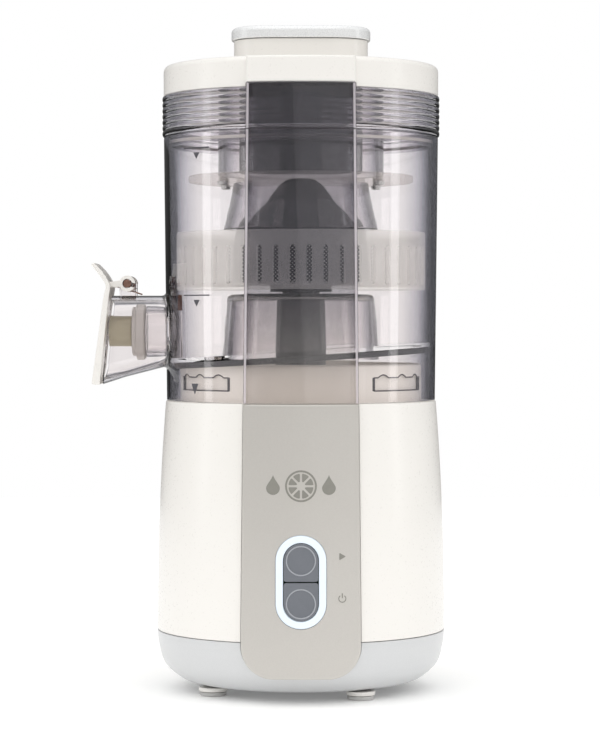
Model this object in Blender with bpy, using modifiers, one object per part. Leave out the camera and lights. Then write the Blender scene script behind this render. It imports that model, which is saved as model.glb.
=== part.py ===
"""Centrifugal juicer: a motor base, a clear bowl with a drip-stop spout, a filter basket,
a lid with a feed tube and a pusher. Sizes are in millimetres and are turned into metres
as the meshes are made. +Z is up, the front faces -Y and the spout points to -X."""
import bpy
import bmesh
from math import cos, pi, radians, sin, sqrt, tan
from mathutils import Matrix, Vector

MM = 0.001
GAP = 0.3            # between pieces that rest on, or sit in, each other
RUN = 0.5            # between turning and fixed pieces
ROUND = 40           # facets of the large turned pieces
HALF = 24            # of the middle-sized ones
FINE = 16            # and of the small ones

# Motor base
FOOT_H = 4.8
FOOT_R = 7.75
FOOT_INSET = 21.6        # of the feet's circle, from BODY_R
FOOT_ANGLE = 34.0
PAD_H = 2.0
BODY_R = 78.6
TRAY_H = 28.0
TRAY_WALL = 2.6
SHELL_H = 124.9
SHELL_WALL = 3.0
DECK_T = 3.0
SHELL_TAPER = 4.6
COLLAR_PLAY = 5.1        # between the collar and the bowl's skirt
COLLAR_WALL = 3.5
COLLAR_H = 20.1
LATCH_W, LATCH_H, LATCH_DEPTH = 39.0, 7.6, 1.2   # width in degrees
TOWER_R = 15.5
TOWER_BORE_R = 8.0

# Front band: panel, window strips and the lid's brow
BAND_HALF_W = 31.7
BAND_SLOPE = 0.0095
BAND_PROUD = 1.0         # of BODY_R, at the front
BAND_LEAN = 2.0
BAND_CURVE_R = 120.0
PANEL_UP = 9.5           # of its lower edge, from the tray's underside
PANEL_CORNER_R = 17.0
PANEL_RECESS = 1.6
BEZEL_W, BEZEL_H, BEZEL_RIM = 26.5, 48.9, 3.9
BUTTON_UP = 50.9         # of the buttons' middle, from the panel's lower edge
BUTTON_GAP = 0.6
BUTTON_TRAVEL = 1.2
BUTTON_T = 2.3
DIMPLE_R, DIMPLE_DEPTH = 7.6, 0.6

GLAND_UP = 18.9          # of the cord's inlet, from the shell's lower edge

# Motor
SHAFT_R = 4.0
CAN_R = 36.0
CAN_WALL = 2.0
END_T = 7.4
MOUNT_H = 12.7
BEARING_R = 11.0
BEARING_H = 6.0
ROTOR_R = 24.0
FAN_R = 31.0
FAN_H = 11.0
FAN_UP = 33.2            # from the tray's underside
COUPLING_R = 12.0
COUPLING_H = 12.0

# Bowl and spout
BOWL_STEP = 0.5          # that its foot stands in from the deck's edge
BOWL_FLARE = 1.6
BOWL_H = 143.5
BOWL_WALL = 2.4
FLOOR_RISE = 27.4
FLOOR_TILT = 3.7
FLOOR_T = 2.4
FLOOR_RING_W, FLOOR_RING_T = 2.6, 3.0
CHIMNEY_R, CHIMNEY_TOP_R, CHIMNEY_H, CHIMNEY_WALL = 42.9, 40.2, 30.3, 2.2
SPOUT_L = 29.4
SPOUT_W = 40.0
SPOUT_TOP = 57.0          # above the bowl's foot
SPOUT_ROOT_H, SPOUT_MOUTH_H = 38.5, 48.4
SPOUT_WALL = 2.2
SPOUT_CORNER_R = 9.0
NOZZLE_R, NOZZLE_BORE_R, NOZZLE_L = 14.0, 12.0, 11.2
NOZZLE_DROP = 19.4        # below the spout's top
POST_R, POST_TIP_H = 1.8, 11.0

# Drip-stop flap
HINGE_BACK, HINGE_RISE = 8.3, 6.6
PIN_R = 2.1
BOSS_R = 4.4
EAR_IN, EAR_OUT = 5.2, 9.0
BOSS_IN, BOSS_OUT = 9.4, 13.8
FLAP_OVER = 10.7         # beyond the spout's lip
FLAP_W = 41.0
STEM_R = 8.3
SEAL_R, SEAL_TIP_R = 15.5, 13.5
SEAL_T, SEAL_TIP_T = 5.0, 2.3
SPRING_WIRE_R, SPRING_R, SPRING_TURNS = 0.4, 3.3, 3

# Filter basket
DRUM_PLAY = 2.9          # between the drum and the bowl's foot
DRUM_H = 31.3
DRUM_WALL = 2.4
SLOTS = 48
SLOT_W = 3.0
SLOT_TOP_RIM = 8.1
BELL_R, BELL_H, BELL_WALL = 38.0, 58.5, 1.6
DISC_T = 1.4
MESH_T = 0.5
HUB_R, HUB_H = 20.0, 11.5

# Lid, feed tube and pusher
RING_H = 22.0
RING_WALL = 2.6
RIBS, RIB_H = 7, 0.7
SPIGOT_H = 5.6
LID_STEP, LID_H, LID_WALL = 0.1, 16.2, 2.4
NECK_W, NECK_D, NECK_CORNER_R, NECK_H, NECK_WALL = 73.2, 44.0, 20.0, 13.9, 2.4
TUBE_R, TUBE_WALL = 45.4, 2.4
DEFLECTOR_INSET, DEFLECTOR_T = 6.6, 3.7   # from the drum's radius
SKIRT_TOP_R, SKIRT_BOTTOM_R, SKIRT_H, SKIRT_WALL = 36.9, 42.4, 25.5, 1.8
SCREW_OUT, SCREW_ANGLE = 3.6, 31.0        # of the feed tube's radius
CAP_OVERHANG, CAP_H = 1.4, 6.7
PUSHER_WALL = 2.2

# Radii that follow from the sizes above
deck_r = BODY_R - SHELL_TAPER
foot_circle_r = BODY_R - FOOT_INSET
band_front = BODY_R + BAND_PROUD
bowl_foot_r = deck_r - BOWL_STEP
bowl_top_r = bowl_foot_r + BOWL_FLARE
collar_r = bowl_foot_r - BOWL_WALL - COLLAR_PLAY
drum_r = bowl_foot_r - BOWL_WALL - DRUM_PLAY
deflector_r = drum_r - DEFLECTOR_INSET
lid_r = bowl_top_r + LID_STEP
spout_reach = bowl_foot_r + SPOUT_L
hinge_x = spout_reach - HINGE_BACK
flap_reach = spout_reach + FLAP_OVER

# Heights that follow from them
tray_z = FOOT_H
tray_top = tray_z + TRAY_H
panel_bottom = tray_z + PANEL_UP
button_z = panel_bottom + BUTTON_UP
fan_z = tray_z + FAN_UP
shell_z = tray_top + GAP
deck_z = shell_z + SHELL_H
bowl_z = deck_z + GAP
bowl_top = bowl_z + BOWL_H
ring_z = bowl_top + GAP
ring_top = ring_z + RING_H
lid_z = ring_top + GAP
lid_top = lid_z + LID_H
neck_top = lid_top + NECK_H
cap_z = neck_top + GAP
cap_top = cap_z + CAP_H
floor_z = bowl_z + FLOOR_RISE
chimney_top = floor_z + CHIMNEY_H
drum_z = chimney_top + 5 * RUN
drum_top = drum_z + DRUM_H
skirt_z = drum_top + 3 * RUN
deflector_z = skirt_z + SKIRT_H + GAP
deflector_top = deflector_z + DEFLECTOR_T
plate_z = drum_z + 2.0                  # top face of the basket's floor
bell_top = plate_z + GAP + BELL_H
spout_top = bowl_z + SPOUT_TOP
hinge_z = spout_top + HINGE_RISE

for old in list(bpy.data.objects):
    bpy.data.objects.remove(old, do_unlink=True)

parts = bpy.data.collections.new("centrifugal_juicer")
cutters = bpy.data.collections.new("cutters")
bpy.context.scene.collection.children.link(parts)
bpy.context.scene.collection.children.link(cutters)

# The body's axis stands off the origin so that the whole juicer is centred on it.
axis = bpy.data.objects.new("body_axis", None)
axis.location = ((flap_reach - BODY_R) / 2 * MM, (band_front - BODY_R) / 2 * MM, 0)
parts.objects.link(axis)


def material(name, colour, roughness, metallic=0.0):
    mat = bpy.data.materials.new(name)
    mat.use_nodes = True
    shader = mat.node_tree.nodes["Principled BSDF"]
    shader.inputs["Base Color"].default_value = (*colour, 1)
    shader.inputs["Roughness"].default_value = roughness
    shader.inputs["Metallic"].default_value = metallic
    return mat


IVORY = material("ivory_abs", (0.86, 0.84, 0.79), 0.35)
SILVER = material("silver_grey_abs", (0.55, 0.56, 0.57), 0.4)
PEARL = material("pearl_panel", (0.47, 0.44, 0.40), 0.3, 0.3)
LIGHT_RING = material("pale_light_ring", (0.75, 0.82, 0.9), 0.3)
BUTTON_GREY = material("button_grey", (0.18, 0.19, 0.21), 0.45)
RUBBER = material("black_rubber", (0.03, 0.03, 0.03), 0.8)
SMOKE = material("smoked_clear_plastic", (0.42, 0.43, 0.45), 0.08)
DARK_SMOKE = material("dark_smoked_plastic", (0.16, 0.16, 0.18), 0.1)
SILICONE = material("grey_silicone", (0.35, 0.35, 0.34), 0.5)
KHAKI = material("khaki_plastic", (0.3, 0.28, 0.22), 0.5)
BROWN = material("brown_silicone", (0.25, 0.13, 0.09), 0.5)
MILKY = material("milky_white_plastic", (0.8, 0.8, 0.78), 0.4)
GRAPHITE = material("graphite_plastic", (0.08, 0.08, 0.09), 0.4)
STEEL = material("stainless_steel", (0.6, 0.6, 0.6), 0.25, 1.0)
ZINC = material("zinc_plated_steel", (0.5, 0.5, 0.52), 0.35, 1.0)
COPPER = material("varnished_copper", (0.6, 0.28, 0.14), 0.35, 1.0)
BOARD = material("green_circuit_board", (0.03, 0.16, 0.07), 0.5)


def add(name, mesh, mat):
    """Link a mesh as a part, or as a hidden cutter when it has no material."""
    ob = bpy.data.objects.new(name, mesh)
    ob.parent = axis
    if mat is None:
        cutters.objects.link(ob)
        ob.hide_render = True
        ob.display_type = "WIRE"
    else:
        parts.objects.link(ob)
        mesh.materials.append(mat)
    return ob


def turned(name, profile, mat=None, segments=ROUND, at=(0, 0, 0)):
    """Turn (radius, height) points about Z. They run down the outer side; a profile that
    ends on the axis at both ends stays open there, any other is closed."""
    mesh = bpy.data.meshes.new(name)
    last = len(profile) - 1
    edges = [(i, i + 1) for i in range(last)]
    if profile[0][0] > 0 or profile[last][0] > 0:
        edges.append((last, 0))
    mesh.from_pydata([(r * MM, 0, z * MM) for r, z in profile], edges, [])
    ob = add(name, mesh, mat)
    ob.location = Vector(at) * MM
    screw = ob.modifiers.new("Turn", "SCREW")
    screw.steps = screw.render_steps = segments
    screw.use_merge_vertices = True
    screw.merge_threshold = 0.00001
    screw.use_smooth_shade = False
    return ob


def tube(name, outer, inner, low, high, mat=None, segments=ROUND, at=(0, 0, 0)):
    return turned(name, [(outer, high), (outer, low), (inner, low), (inner, high)], mat, segments, at)


def disc(name, radius, low, high, mat=None, segments=ROUND, at=(0, 0, 0)):
    return turned(name, [(0, high), (radius, high), (radius, low), (0, low)], mat, segments, at)


def facing(direction, at=(0, 0, 0)):
    """Placement that turns an outline in XY so that its normal lies along an axis."""
    turn = {"Z": Matrix.Identity(3),
            "Y": Matrix(((1, 0, 0), (0, 0, -1), (0, 1, 0))),
            "X": Matrix(((0, 0, 1), (1, 0, 0), (0, 1, 0)))}[direction]
    return Matrix.Translation(Vector(at) * MM) @ turn.to_4x4()


def prism(name, outline, thickness, place, mat=None, holes=()):
    """A flat outline, extruded evenly to both sides of its own plane."""
    curve = bpy.data.curves.new(name, "CURVE")
    curve.dimensions = "2D"
    curve.fill_mode = "BOTH"
    curve.extrude = thickness / 2 * MM
    for loop in (outline, *holes):
        spline = curve.splines.new("POLY")
        spline.points.add(len(loop) - 1)
        for point, (x, y) in zip(spline.points, loop):
            point.co = (x * MM, y * MM, 0, 1)
        spline.use_cyclic_u = True
    drawn = bpy.data.objects.new(name + "_outline", curve)
    cutters.objects.link(drawn)
    solid = drawn.evaluated_get(bpy.context.evaluated_depsgraph_get())
    mesh = bpy.data.meshes.new_from_object(solid)
    bpy.data.objects.remove(drawn, do_unlink=True)
    bm = bmesh.new()
    bm.from_mesh(mesh)
    bmesh.ops.remove_doubles(bm, verts=bm.verts, dist=0.000001)
    bmesh.ops.transform(bm, matrix=place, verts=bm.verts)
    bmesh.ops.recalc_face_normals(bm, faces=bm.faces)
    bm.to_mesh(mesh)
    bm.free()
    mesh.materials.clear()
    mesh.name = name
    return add(name, mesh, mat)


def box(name, low, high, mat=None):
    mesh = bpy.data.meshes.new(name)
    bm = bmesh.new()
    low, high = Vector(low) * MM, Vector(high) * MM
    bmesh.ops.create_cube(bm, size=1, matrix=Matrix.Translation((low + high) / 2)
                          @ Matrix.Diagonal((*(high - low), 1)))
    bm.to_mesh(mesh)
    bm.free()
    return add(name, mesh, mat)


def rod(name, radius, low, high, direction, at, mat=None, segments=FINE, radius_high=None):
    """A cylinder or cone from low to high along X, Y or Z through the point at."""
    mesh = bpy.data.meshes.new(name)
    bm = bmesh.new()
    place = facing(direction, at) @ Matrix.Translation((0, 0, (low + high) / 2 * MM))
    end = radius if radius_high is None else radius_high
    bmesh.ops.create_cone(bm, cap_ends=True, segments=segments, radius1=radius * MM,
                          radius2=end * MM, depth=(high - low) * MM, matrix=place)
    bm.to_mesh(mesh)
    bm.free()
    return add(name, mesh, mat)


def boolean(ob, other, operation="DIFFERENCE"):
    step = ob.modifiers.new(other.name, "BOOLEAN")
    step.object = other
    step.operation = operation
    step.solver = "EXACT"
    return ob


def racetrack(width, height, corner, centre=(0, 0), steps=5):
    """Outline of a rounded rectangle, counter-clockwise."""
    corner = min(corner, width / 2, height / 2)
    points = []
    for quarter, (sx, sy) in enumerate(((1, 1), (-1, 1), (-1, -1), (1, -1))):
        cx = centre[0] + sx * (width / 2 - corner)
        cy = centre[1] + sy * (height / 2 - corner)
        for i in range(steps + 1):
            a = pi / 2 * (quarter + i / steps)
            point = (cx + corner * cos(a), cy + corner * sin(a))
            if not points or Vector(point).to_2d() != Vector(points[-1]).to_2d():
                points.append(point)
    tidy = [p for i, p in enumerate(points)
            if sqrt((p[0] - points[i - 1][0]) ** 2 + (p[1] - points[i - 1][1]) ** 2) > 0.001]
    return tidy


def sector(r_in, r_out, start, end, steps=4):
    """Outline of a ring's segment between two angles, in degrees."""
    angles = [radians(start + (end - start) * i / steps) for i in range(steps + 1)]
    return ([(r_out * cos(a), r_out * sin(a)) for a in angles]
            + [(r_in * cos(a), r_in * sin(a)) for a in reversed(angles)])


# The body's outer line, from the tray's underside to the deck, as (height, radius).
tray_line = [(tray_z, BODY_R - 20.6), (tray_z + 2.2, BODY_R - 12.6), (tray_z + 0.364 * TRAY_H, BODY_R - 3.8),
             (tray_z + 0.757 * TRAY_H, BODY_R - 0.6), (tray_top, BODY_R)]
shell_line = [(shell_z + t * SHELL_H, BODY_R - SHELL_TAPER * t ** 2.2) for t in (0, 0.25, 0.5, 0.65, 0.8, 0.9, 1)]


def line(points, inset, low=None, high=None):
    """(radius, height) points of an outer line moved inwards, listed downwards."""
    moved = [(r - inset, z) for z, r in points]
    if low is not None:
        moved[0] = (moved[0][0], low)
    if high is not None:
        moved[-1] = (moved[-1][0], high)
    return list(reversed(moved))


def band_half_width(z):
    return BAND_HALF_W - BAND_SLOPE * (z - panel_bottom)


def band_blank(name, low, high, grow=0.0, corner=0.0, mat=None):
    """Slab with the front band's outline; its two bottom corners may be rounded."""
    bottom, top = band_half_width(low) + grow, band_half_width(high) + grow
    right = [(top, high + grow)]
    if corner:
        r = corner + grow
        for i in range(7):
            a = -pi / 2 * i / 6
            right.append((bottom - r + r * cos(a), low - grow + r + r * sin(a)))
    else:
        right.append((bottom, low - grow))
    outline = right + [(-x, z) for x, z in reversed(right)]
    return prism(name, outline, 30, facing("Y", (0, -(BODY_R - 3.6), 0)), mat)


# Front face of the band: a wide, slightly leaning cone that its blanks are cut to.
face_centre = BAND_CURVE_R - band_front
band_face = turned("band_face", [
    (0, cap_top), (BAND_CURVE_R - BAND_LEAN, cap_top), (BAND_CURVE_R - BAND_LEAN, deck_z),
    (BAND_CURVE_R, shell_z), (BAND_CURVE_R, 0), (0, 0)], None, 120, (0, face_centre, 0))


# ---- Motor base ----
bottom_tray = turned("bottom_tray",
                     line(tray_line, 0) + [(BODY_R - 24 - TRAY_WALL, tray_z), (0, tray_z)]
                     + [(0, tray_z + TRAY_WALL), (BODY_R - 21 - TRAY_WALL, tray_z + TRAY_WALL)]
                     + [(BODY_R - 12.6 - TRAY_WALL, tray_z + 2.2 + TRAY_WALL)]
                     + [(r - TRAY_WALL, z) for z, r in tray_line[2:]], SILVER)
base_shell = turned("base_shell",
                    [(0, deck_z)] + line(shell_line, 0)
                    + [(BODY_R - SHELL_WALL, shell_z)]
                    + [(r - SHELL_WALL, z) for z, r in shell_line[1:-1]]
                    + [(shell_line[-1][1] - SHELL_WALL, deck_z - DECK_T), (0, deck_z - DECK_T)], IVORY)
boolean(base_shell, disc("deck_hole", TOWER_BORE_R, deck_z - 20, deck_z + 20, None, FINE))

panel_core = turned("panel_core", [(0, deck_z + 1)] + line(shell_line, PANEL_RECESS - GAP, high=deck_z + 1)
                    + line(tray_line, PANEL_RECESS - GAP, low=0)[1:] + [(0, 0)])
recess_core = turned("recess_core", [(0, deck_z + 2)] + line(shell_line, PANEL_RECESS, high=deck_z + 2)
                     + line(tray_line, PANEL_RECESS, low=-1)[1:] + [(0, -1)])
front_panel = band_blank("front_panel", panel_bottom, deck_z, 0, PANEL_CORNER_R, PEARL)
boolean(front_panel, band_face, "INTERSECT")
boolean(front_panel, panel_core)
panel_recess = band_blank("panel_recess", panel_bottom, deck_z, GAP, PANEL_CORNER_R)
boolean(panel_recess, recess_core)
boolean(base_shell, panel_recess)
boolean(bottom_tray, panel_recess)

bezel_back = -(BODY_R - PANEL_RECESS + GAP)
bezel_front = -band_front
bezel_depth = bezel_back - bezel_front
boolean(front_panel, prism("bezel_hole", racetrack(BEZEL_W + 2 * GAP, BEZEL_H + 2 * GAP, 99, (0, button_z)),
                           30, facing("Y", (0, -BODY_R, 0))))
button_bezel = prism("button_bezel", racetrack(BEZEL_W, BEZEL_H, 99, (0, button_z)), bezel_depth,
                     facing("Y", (0, (bezel_front + bezel_back) / 2, 0)), LIGHT_RING,
                     [racetrack(BEZEL_W - 2 * BEZEL_RIM, BEZEL_H - 2 * BEZEL_RIM, 99, (0, button_z))])
well_w, well_h = BEZEL_W - 2 * BEZEL_RIM, BEZEL_H - 2 * BEZEL_RIM
boolean(base_shell, prism("button_well", racetrack(well_w, well_h, 99, (0, button_z)), 20,
                          facing("Y", (0, -(BODY_R - 3), 0))))

# Each button is half of a racetrack with a dished circle and a stem to its switch.
button_face = bezel_front + GAP
stem_end = -(BODY_R - SHELL_WALL - PANEL_RECESS - 3.0)
button_shape = racetrack(well_w - 2 * GAP, well_h - 2 * GAP, 99, (0, button_z))
for name, side in (("start_button", 1), ("power_button", -1)):
    button = prism(name, button_shape, BUTTON_T, facing("Y", (0, button_face + BUTTON_T / 2, 0)), BUTTON_GREY)
    low, high = sorted((button_z + side * BUTTON_GAP / 2 - side * 60, button_z + side * BUTTON_GAP / 2))
    boolean(button, box(name + "_split", (-30, -99, low), (30, -50, high)))
    dimple_z = button_z + side * (well_h / 4 + 1.0)
    boolean(button, rod(name + "_dish", DIMPLE_R, -DIMPLE_DEPTH, 5, "Y",
                        (0, button_face, dimple_z), None, FINE))
    stem = rod(name + "_stem", 2.0, -(stem_end - button_face), -1.5, "Y", (0, button_face, dimple_z))
    boolean(button, stem, "UNION")
    switch_y = stem_end + BUTTON_TRAVEL + RUN
    box(name.split("_")[0] + "_switch", (-3.5, switch_y, dimple_z - 3.5),
        (3.5, switch_y + 3.6, dimple_z + 3.5), GRAPHITE)
board_y = switch_y + 3.6 + GAP
box("switch_board", (-11, board_y, button_z - 24), (11, board_y + 1.6, button_z + 24), BOARD)
box("control_board", (-36, -24, tray_z + TRAY_WALL + 6), (36, 24, tray_z + TRAY_WALL + 7.6), BOARD)

for i in range(4):
    a = radians(-90 + FOOT_ANGLE + 90 * i)
    spot = (foot_circle_r * cos(a), foot_circle_r * sin(a), 0)
    disc("foot_%d" % (i + 1), FOOT_R, PAD_H + GAP, tray_z - GAP, IVORY, FINE, spot)
    disc("foot_pad_%d" % (i + 1), FOOT_R - 0.6, 0, PAD_H, RUBBER, FINE, spot)

collar_top = bowl_z + COLLAR_H
lock_collar = turned("lock_collar", [(collar_r - 1.5, collar_top), (collar_r, collar_top - 1.5),
                                     (collar_r, bowl_z), (collar_r - COLLAR_WALL, bowl_z),
                                     (collar_r - COLLAR_WALL, collar_top)], IVORY)
latch_z = bowl_z + 10.0
for i, middle in enumerate((-144, -36, 36, 144)):
    boolean(lock_collar, prism("latch_pocket_%d" % (i + 1),
                               sector(collar_r - LATCH_DEPTH, collar_r + 5, middle - LATCH_W / 2,
                                      middle + LATCH_W / 2), LATCH_H, facing("Z", (0, 0, latch_z))))

tower_top = chimney_top - 5 * RUN
turned("spindle_tower", [(TOWER_R - 1.5, tower_top), (TOWER_R, tower_top - 1.5), (TOWER_R + 1.5, bowl_z + 4),
                         (TOWER_R + 9, bowl_z + 3), (TOWER_R + 9, bowl_z), (TOWER_BORE_R, bowl_z),
                         (TOWER_BORE_R, tower_top)], GRAPHITE, HALF)
tube("shaft_seal", TOWER_BORE_R - GAP, SHAFT_R + RUN, tower_top - 4, tower_top - 0.4, SILICONE, FINE)

gland_z = shell_z + GLAND_UP
gland_hole_r = 6.8
boolean(base_shell, rod("gland_hole", gland_hole_r, -20, 20, "Y", (0, BODY_R, gland_z)))
cord_gland = turned("cord_gland", [(gland_hole_r - GAP, SHELL_WALL + 2.6), (gland_hole_r - GAP, 2.3),
                                   (gland_hole_r + 2.5, 2.3), (gland_hole_r + 2.5, 0), (3.2, 0),
                                   (3.2, SHELL_WALL + 2.6)], RUBBER, FINE,
                    (0, BODY_R - SHELL_WALL - 3.4, gland_z))
cord_gland.rotation_euler = (-pi / 2, 0, 0)

# ---- Motor, hung from the deck on a rubber ring ----
mount_top = deck_z - DECK_T - GAP
mount_z = mount_top - MOUNT_H
tube("motor_mount_ring", CAN_R - 4, CAN_R - 16, mount_z, mount_top, RUBBER, HALF)
end_top_z = mount_z - GAP - END_T
seat_r = BEARING_R + GAP
shaft_hole_r = SHAFT_R + RUN
turned("motor_end_top", [(CAN_R, end_top_z + END_T), (CAN_R, end_top_z), (seat_r, end_top_z),
                         (seat_r, end_top_z + BEARING_H + GAP), (shaft_hole_r, end_top_z + BEARING_H + GAP),
                         (shaft_hole_r, end_top_z + END_T)], ZINC, HALF)
end_low_z = fan_z + FAN_H + 3
turned("motor_end_bottom", [(CAN_R, end_low_z + END_T), (CAN_R, end_low_z), (shaft_hole_r, end_low_z),
                            (shaft_hole_r, end_low_z + END_T - BEARING_H - GAP),
                            (seat_r, end_low_z + END_T - BEARING_H - GAP), (seat_r, end_low_z + END_T)],
       ZINC, HALF)
can_z, can_top = end_low_z + END_T + GAP, end_top_z - GAP
tube("motor_can", CAN_R, CAN_R - CAN_WALL, can_z, can_top, ZINC, HALF)
tube("stator_ring", CAN_R - CAN_WALL - GAP, ROTOR_R + 2.5, can_z + 8, can_top - 6, GRAPHITE, HALF)
bearing_bore = SHAFT_R + GAP
tube("bearing_upper", BEARING_R, bearing_bore, end_top_z + GAP / 2, end_top_z + BEARING_H, STEEL, FINE)
tube("bearing_lower", BEARING_R, bearing_bore, end_low_z + END_T - BEARING_H, end_low_z + END_T - GAP / 2,
     STEEL, FINE)
coupling_z = tower_top + RUN
coupling_top = coupling_z + COUPLING_H
disc("motor_shaft", SHAFT_R, fan_z - 2, coupling_top - 4, STEEL, FINE)
turned("rotor", [(10, can_top - 1.5), (10, can_top - 9), (ROTOR_R - 5, can_top - 9), (ROTOR_R, can_top - 12),
                 (ROTOR_R, can_z + 16), (ROTOR_R - 5, can_z + 13), (10, can_z + 13), (10, can_z + 2),
                 (bearing_bore, can_z + 2), (bearing_bore, can_top - 1.5)], COPPER, HALF)
fan = tube("cooling_fan", 9, bearing_bore, fan_z, fan_z + FAN_H, GRAPHITE, FINE)
boolean(fan, tube("fan_plate", FAN_R, 8.5, fan_z + FAN_H - 1.5, fan_z + FAN_H, None, FINE), "UNION")
for i in range(7):
    blade = box("fan_blade_%d" % (i + 1), (8, -0.8, fan_z + 0.5), (FAN_R - 0.5, 0.8, fan_z + FAN_H - 1))
    blade.rotation_euler = (0, 0, 2 * pi * i / 7)
    boolean(fan, blade, "UNION")


def star(radius, depth, teeth=6):
    """Outline of the drive's rounded star."""
    return [(radius - depth * (i % 2)) * Vector((cos(pi * i / teeth), sin(pi * i / teeth)))
            for i in range(2 * teeth)]


star_depth = 2.5
coupling = prism("drive_coupling", star(COUPLING_R, star_depth), COUPLING_H,
                 facing("Z", (0, 0, coupling_z + COUPLING_H / 2)), GRAPHITE)
boolean(coupling, disc("coupling_bore", SHAFT_R + GAP, coupling_z - 5, coupling_top - 4 + GAP, None, FINE))

# ---- Juice bowl ----
slope = tan(radians(FLOOR_TILT))
tilt = (0, -radians(FLOOR_TILT), 0)


def bowl_radius(z):
    return bowl_foot_r + (bowl_top_r - bowl_foot_r) * (z - bowl_z) / BOWL_H


bowl = turned("juice_bowl", [(bowl_top_r, bowl_top), (bowl_foot_r, bowl_z), (bowl_foot_r - BOWL_WALL, bowl_z),
                             (bowl_top_r - BOWL_WALL, bowl_top)], SMOKE)
floor_r = bowl_radius(floor_z - 70 * slope) - BOWL_WALL
floor = disc("bowl_floor", floor_r + 1.0, -FLOOR_T, 0, None, ROUND, (0, 0, floor_z))
floor.rotation_euler = tilt
boolean(bowl, floor, "UNION")
chimney_foot = floor_z - CHIMNEY_R * slope - FLOOR_T
boolean(bowl, turned("chimney", [(0, chimney_top), (CHIMNEY_TOP_R - 1.5, chimney_top),
                                 (CHIMNEY_TOP_R, chimney_top - 1.5), (CHIMNEY_R, chimney_foot),
                                 (0, chimney_foot)]), "UNION")
boolean(bowl, turned("chimney_inside", [
    (0, chimney_top - CHIMNEY_WALL), (CHIMNEY_TOP_R - CHIMNEY_WALL, chimney_top - CHIMNEY_WALL),
    (CHIMNEY_R - CHIMNEY_WALL, chimney_foot - 2), (0, chimney_foot - 2)]))
boolean(bowl, disc("tower_hole", TOWER_R + RUN, chimney_top - 20, chimney_top + 20, None, HALF))


def spout_blank(name, inset, start, end, mat=None):
    """Rounded tube section along -X whose underside falls towards the mouth."""
    width, tall = SPOUT_W - 2 * inset, SPOUT_ROOT_H - 2 * inset
    ob = prism(name, racetrack(width, tall, SPOUT_CORNER_R - inset, (0, 0)), end - start,
               facing("X", (-(start + end) / 2, 0, spout_top - inset - tall / 2)), mat)
    fall = (SPOUT_MOUTH_H - SPOUT_ROOT_H) / (spout_reach - bowl_foot_r)
    for vert in ob.data.vertices:
        reach = -vert.co.x / MM - bowl_foot_r
        depth = (spout_top - inset) * MM - vert.co.z
        vert.co.z -= depth * fall * reach / tall
    return ob


mouth_lean = radians(6.1)
boolean(bowl, spout_blank("spout_outside", 0, bowl_foot_r - 2.2, spout_reach + 8), "UNION")
spout_inside = spout_blank("spout_inside", SPOUT_WALL, bowl_foot_r - 8, spout_reach + 12)
boolean(spout_inside, disc("spout_root", bowl_foot_r + 0.5, bowl_z, bowl_top))
boolean(bowl, spout_inside)
nozzle_z = spout_top - NOZZLE_DROP
nozzle_end = bowl_foot_r + NOZZLE_L
boolean(bowl, rod("nozzle", NOZZLE_R, -nozzle_end, -(bowl_foot_r - 1.0), "X", (0, 0, nozzle_z), None, HALF),
        "UNION")
boolean(bowl, rod("nozzle_bore", NOZZLE_BORE_R, -nozzle_end - 2, -(bowl_foot_r - 12), "X",
                  (0, 0, nozzle_z), None, HALF))
mouth_cut = box("mouth_cut", (-40, -40, -90), (0, 40, 0.5))
mouth_cut.location = Vector((-spout_reach, 0, spout_top)) * MM
mouth_cut.rotation_euler = (0, mouth_lean, 0)
boolean(bowl, mouth_cut)
for side in (-1, 1):
    ear = [(-hinge_x + BOSS_R * cos(a), hinge_z + BOSS_R * sin(a)) for a in
           [pi * i / 8 for i in range(9)]]
    ear = [(-hinge_x + BOSS_R, spout_top - 1)] + ear + [(-hinge_x - BOSS_R, spout_top - 1)]
    lug = prism("hinge_ear_%d" % (side + 2), ear, EAR_OUT - EAR_IN,
                facing("Y", (0, side * (EAR_OUT + EAR_IN) / 2, 0)))
    boolean(bowl, lug, "UNION")
boolean(bowl, rod("ear_hole", PIN_R + GAP, -15, 15, "Y", (-hinge_x, 0, hinge_z)))
post_spot = (-(drum_r - 0.6), 14.0)
post_top = drum_z - 5 * RUN - POST_TIP_H + 2.0
post_foot = floor_z + post_spot[0] * slope - FLOOR_T / 2
boolean(bowl, rod("post", POST_R, post_foot, post_top, "Z", (*post_spot, 0), None, 12), "UNION")
rod("post_tip", POST_R, post_top + GAP, post_top + POST_TIP_H - 2.0, "Z", (*post_spot, 0), BROWN, 12, 1.2)

ring_out = floor_r - GAP - 0.4
floor_ring = turned("floor_ring", [
    (ring_out, -FLOOR_T - GAP), (ring_out, -FLOOR_T - GAP - FLOOR_RING_T),
    (ring_out - FLOOR_RING_W, -FLOOR_T - GAP - FLOOR_RING_T), (ring_out - FLOOR_RING_W, -FLOOR_T - GAP)],
    GRAPHITE, ROUND, (0, 0, floor_z))
floor_ring.rotation_euler = tilt

bowl_window = band_blank("bowl_window", bowl_z, bowl_top, 0, 0, DARK_SMOKE)
boolean(bowl_window, band_face, "INTERSECT")
boolean(bowl_window, turned("window_back", [
    (0, bowl_top + 2), (bowl_top_r + GAP, bowl_top + 2), (bowl_top_r + GAP, bowl_top),
    (bowl_foot_r + GAP, bowl_z), (bowl_foot_r + GAP, bowl_z - 2), (0, bowl_z - 2)]))

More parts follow.
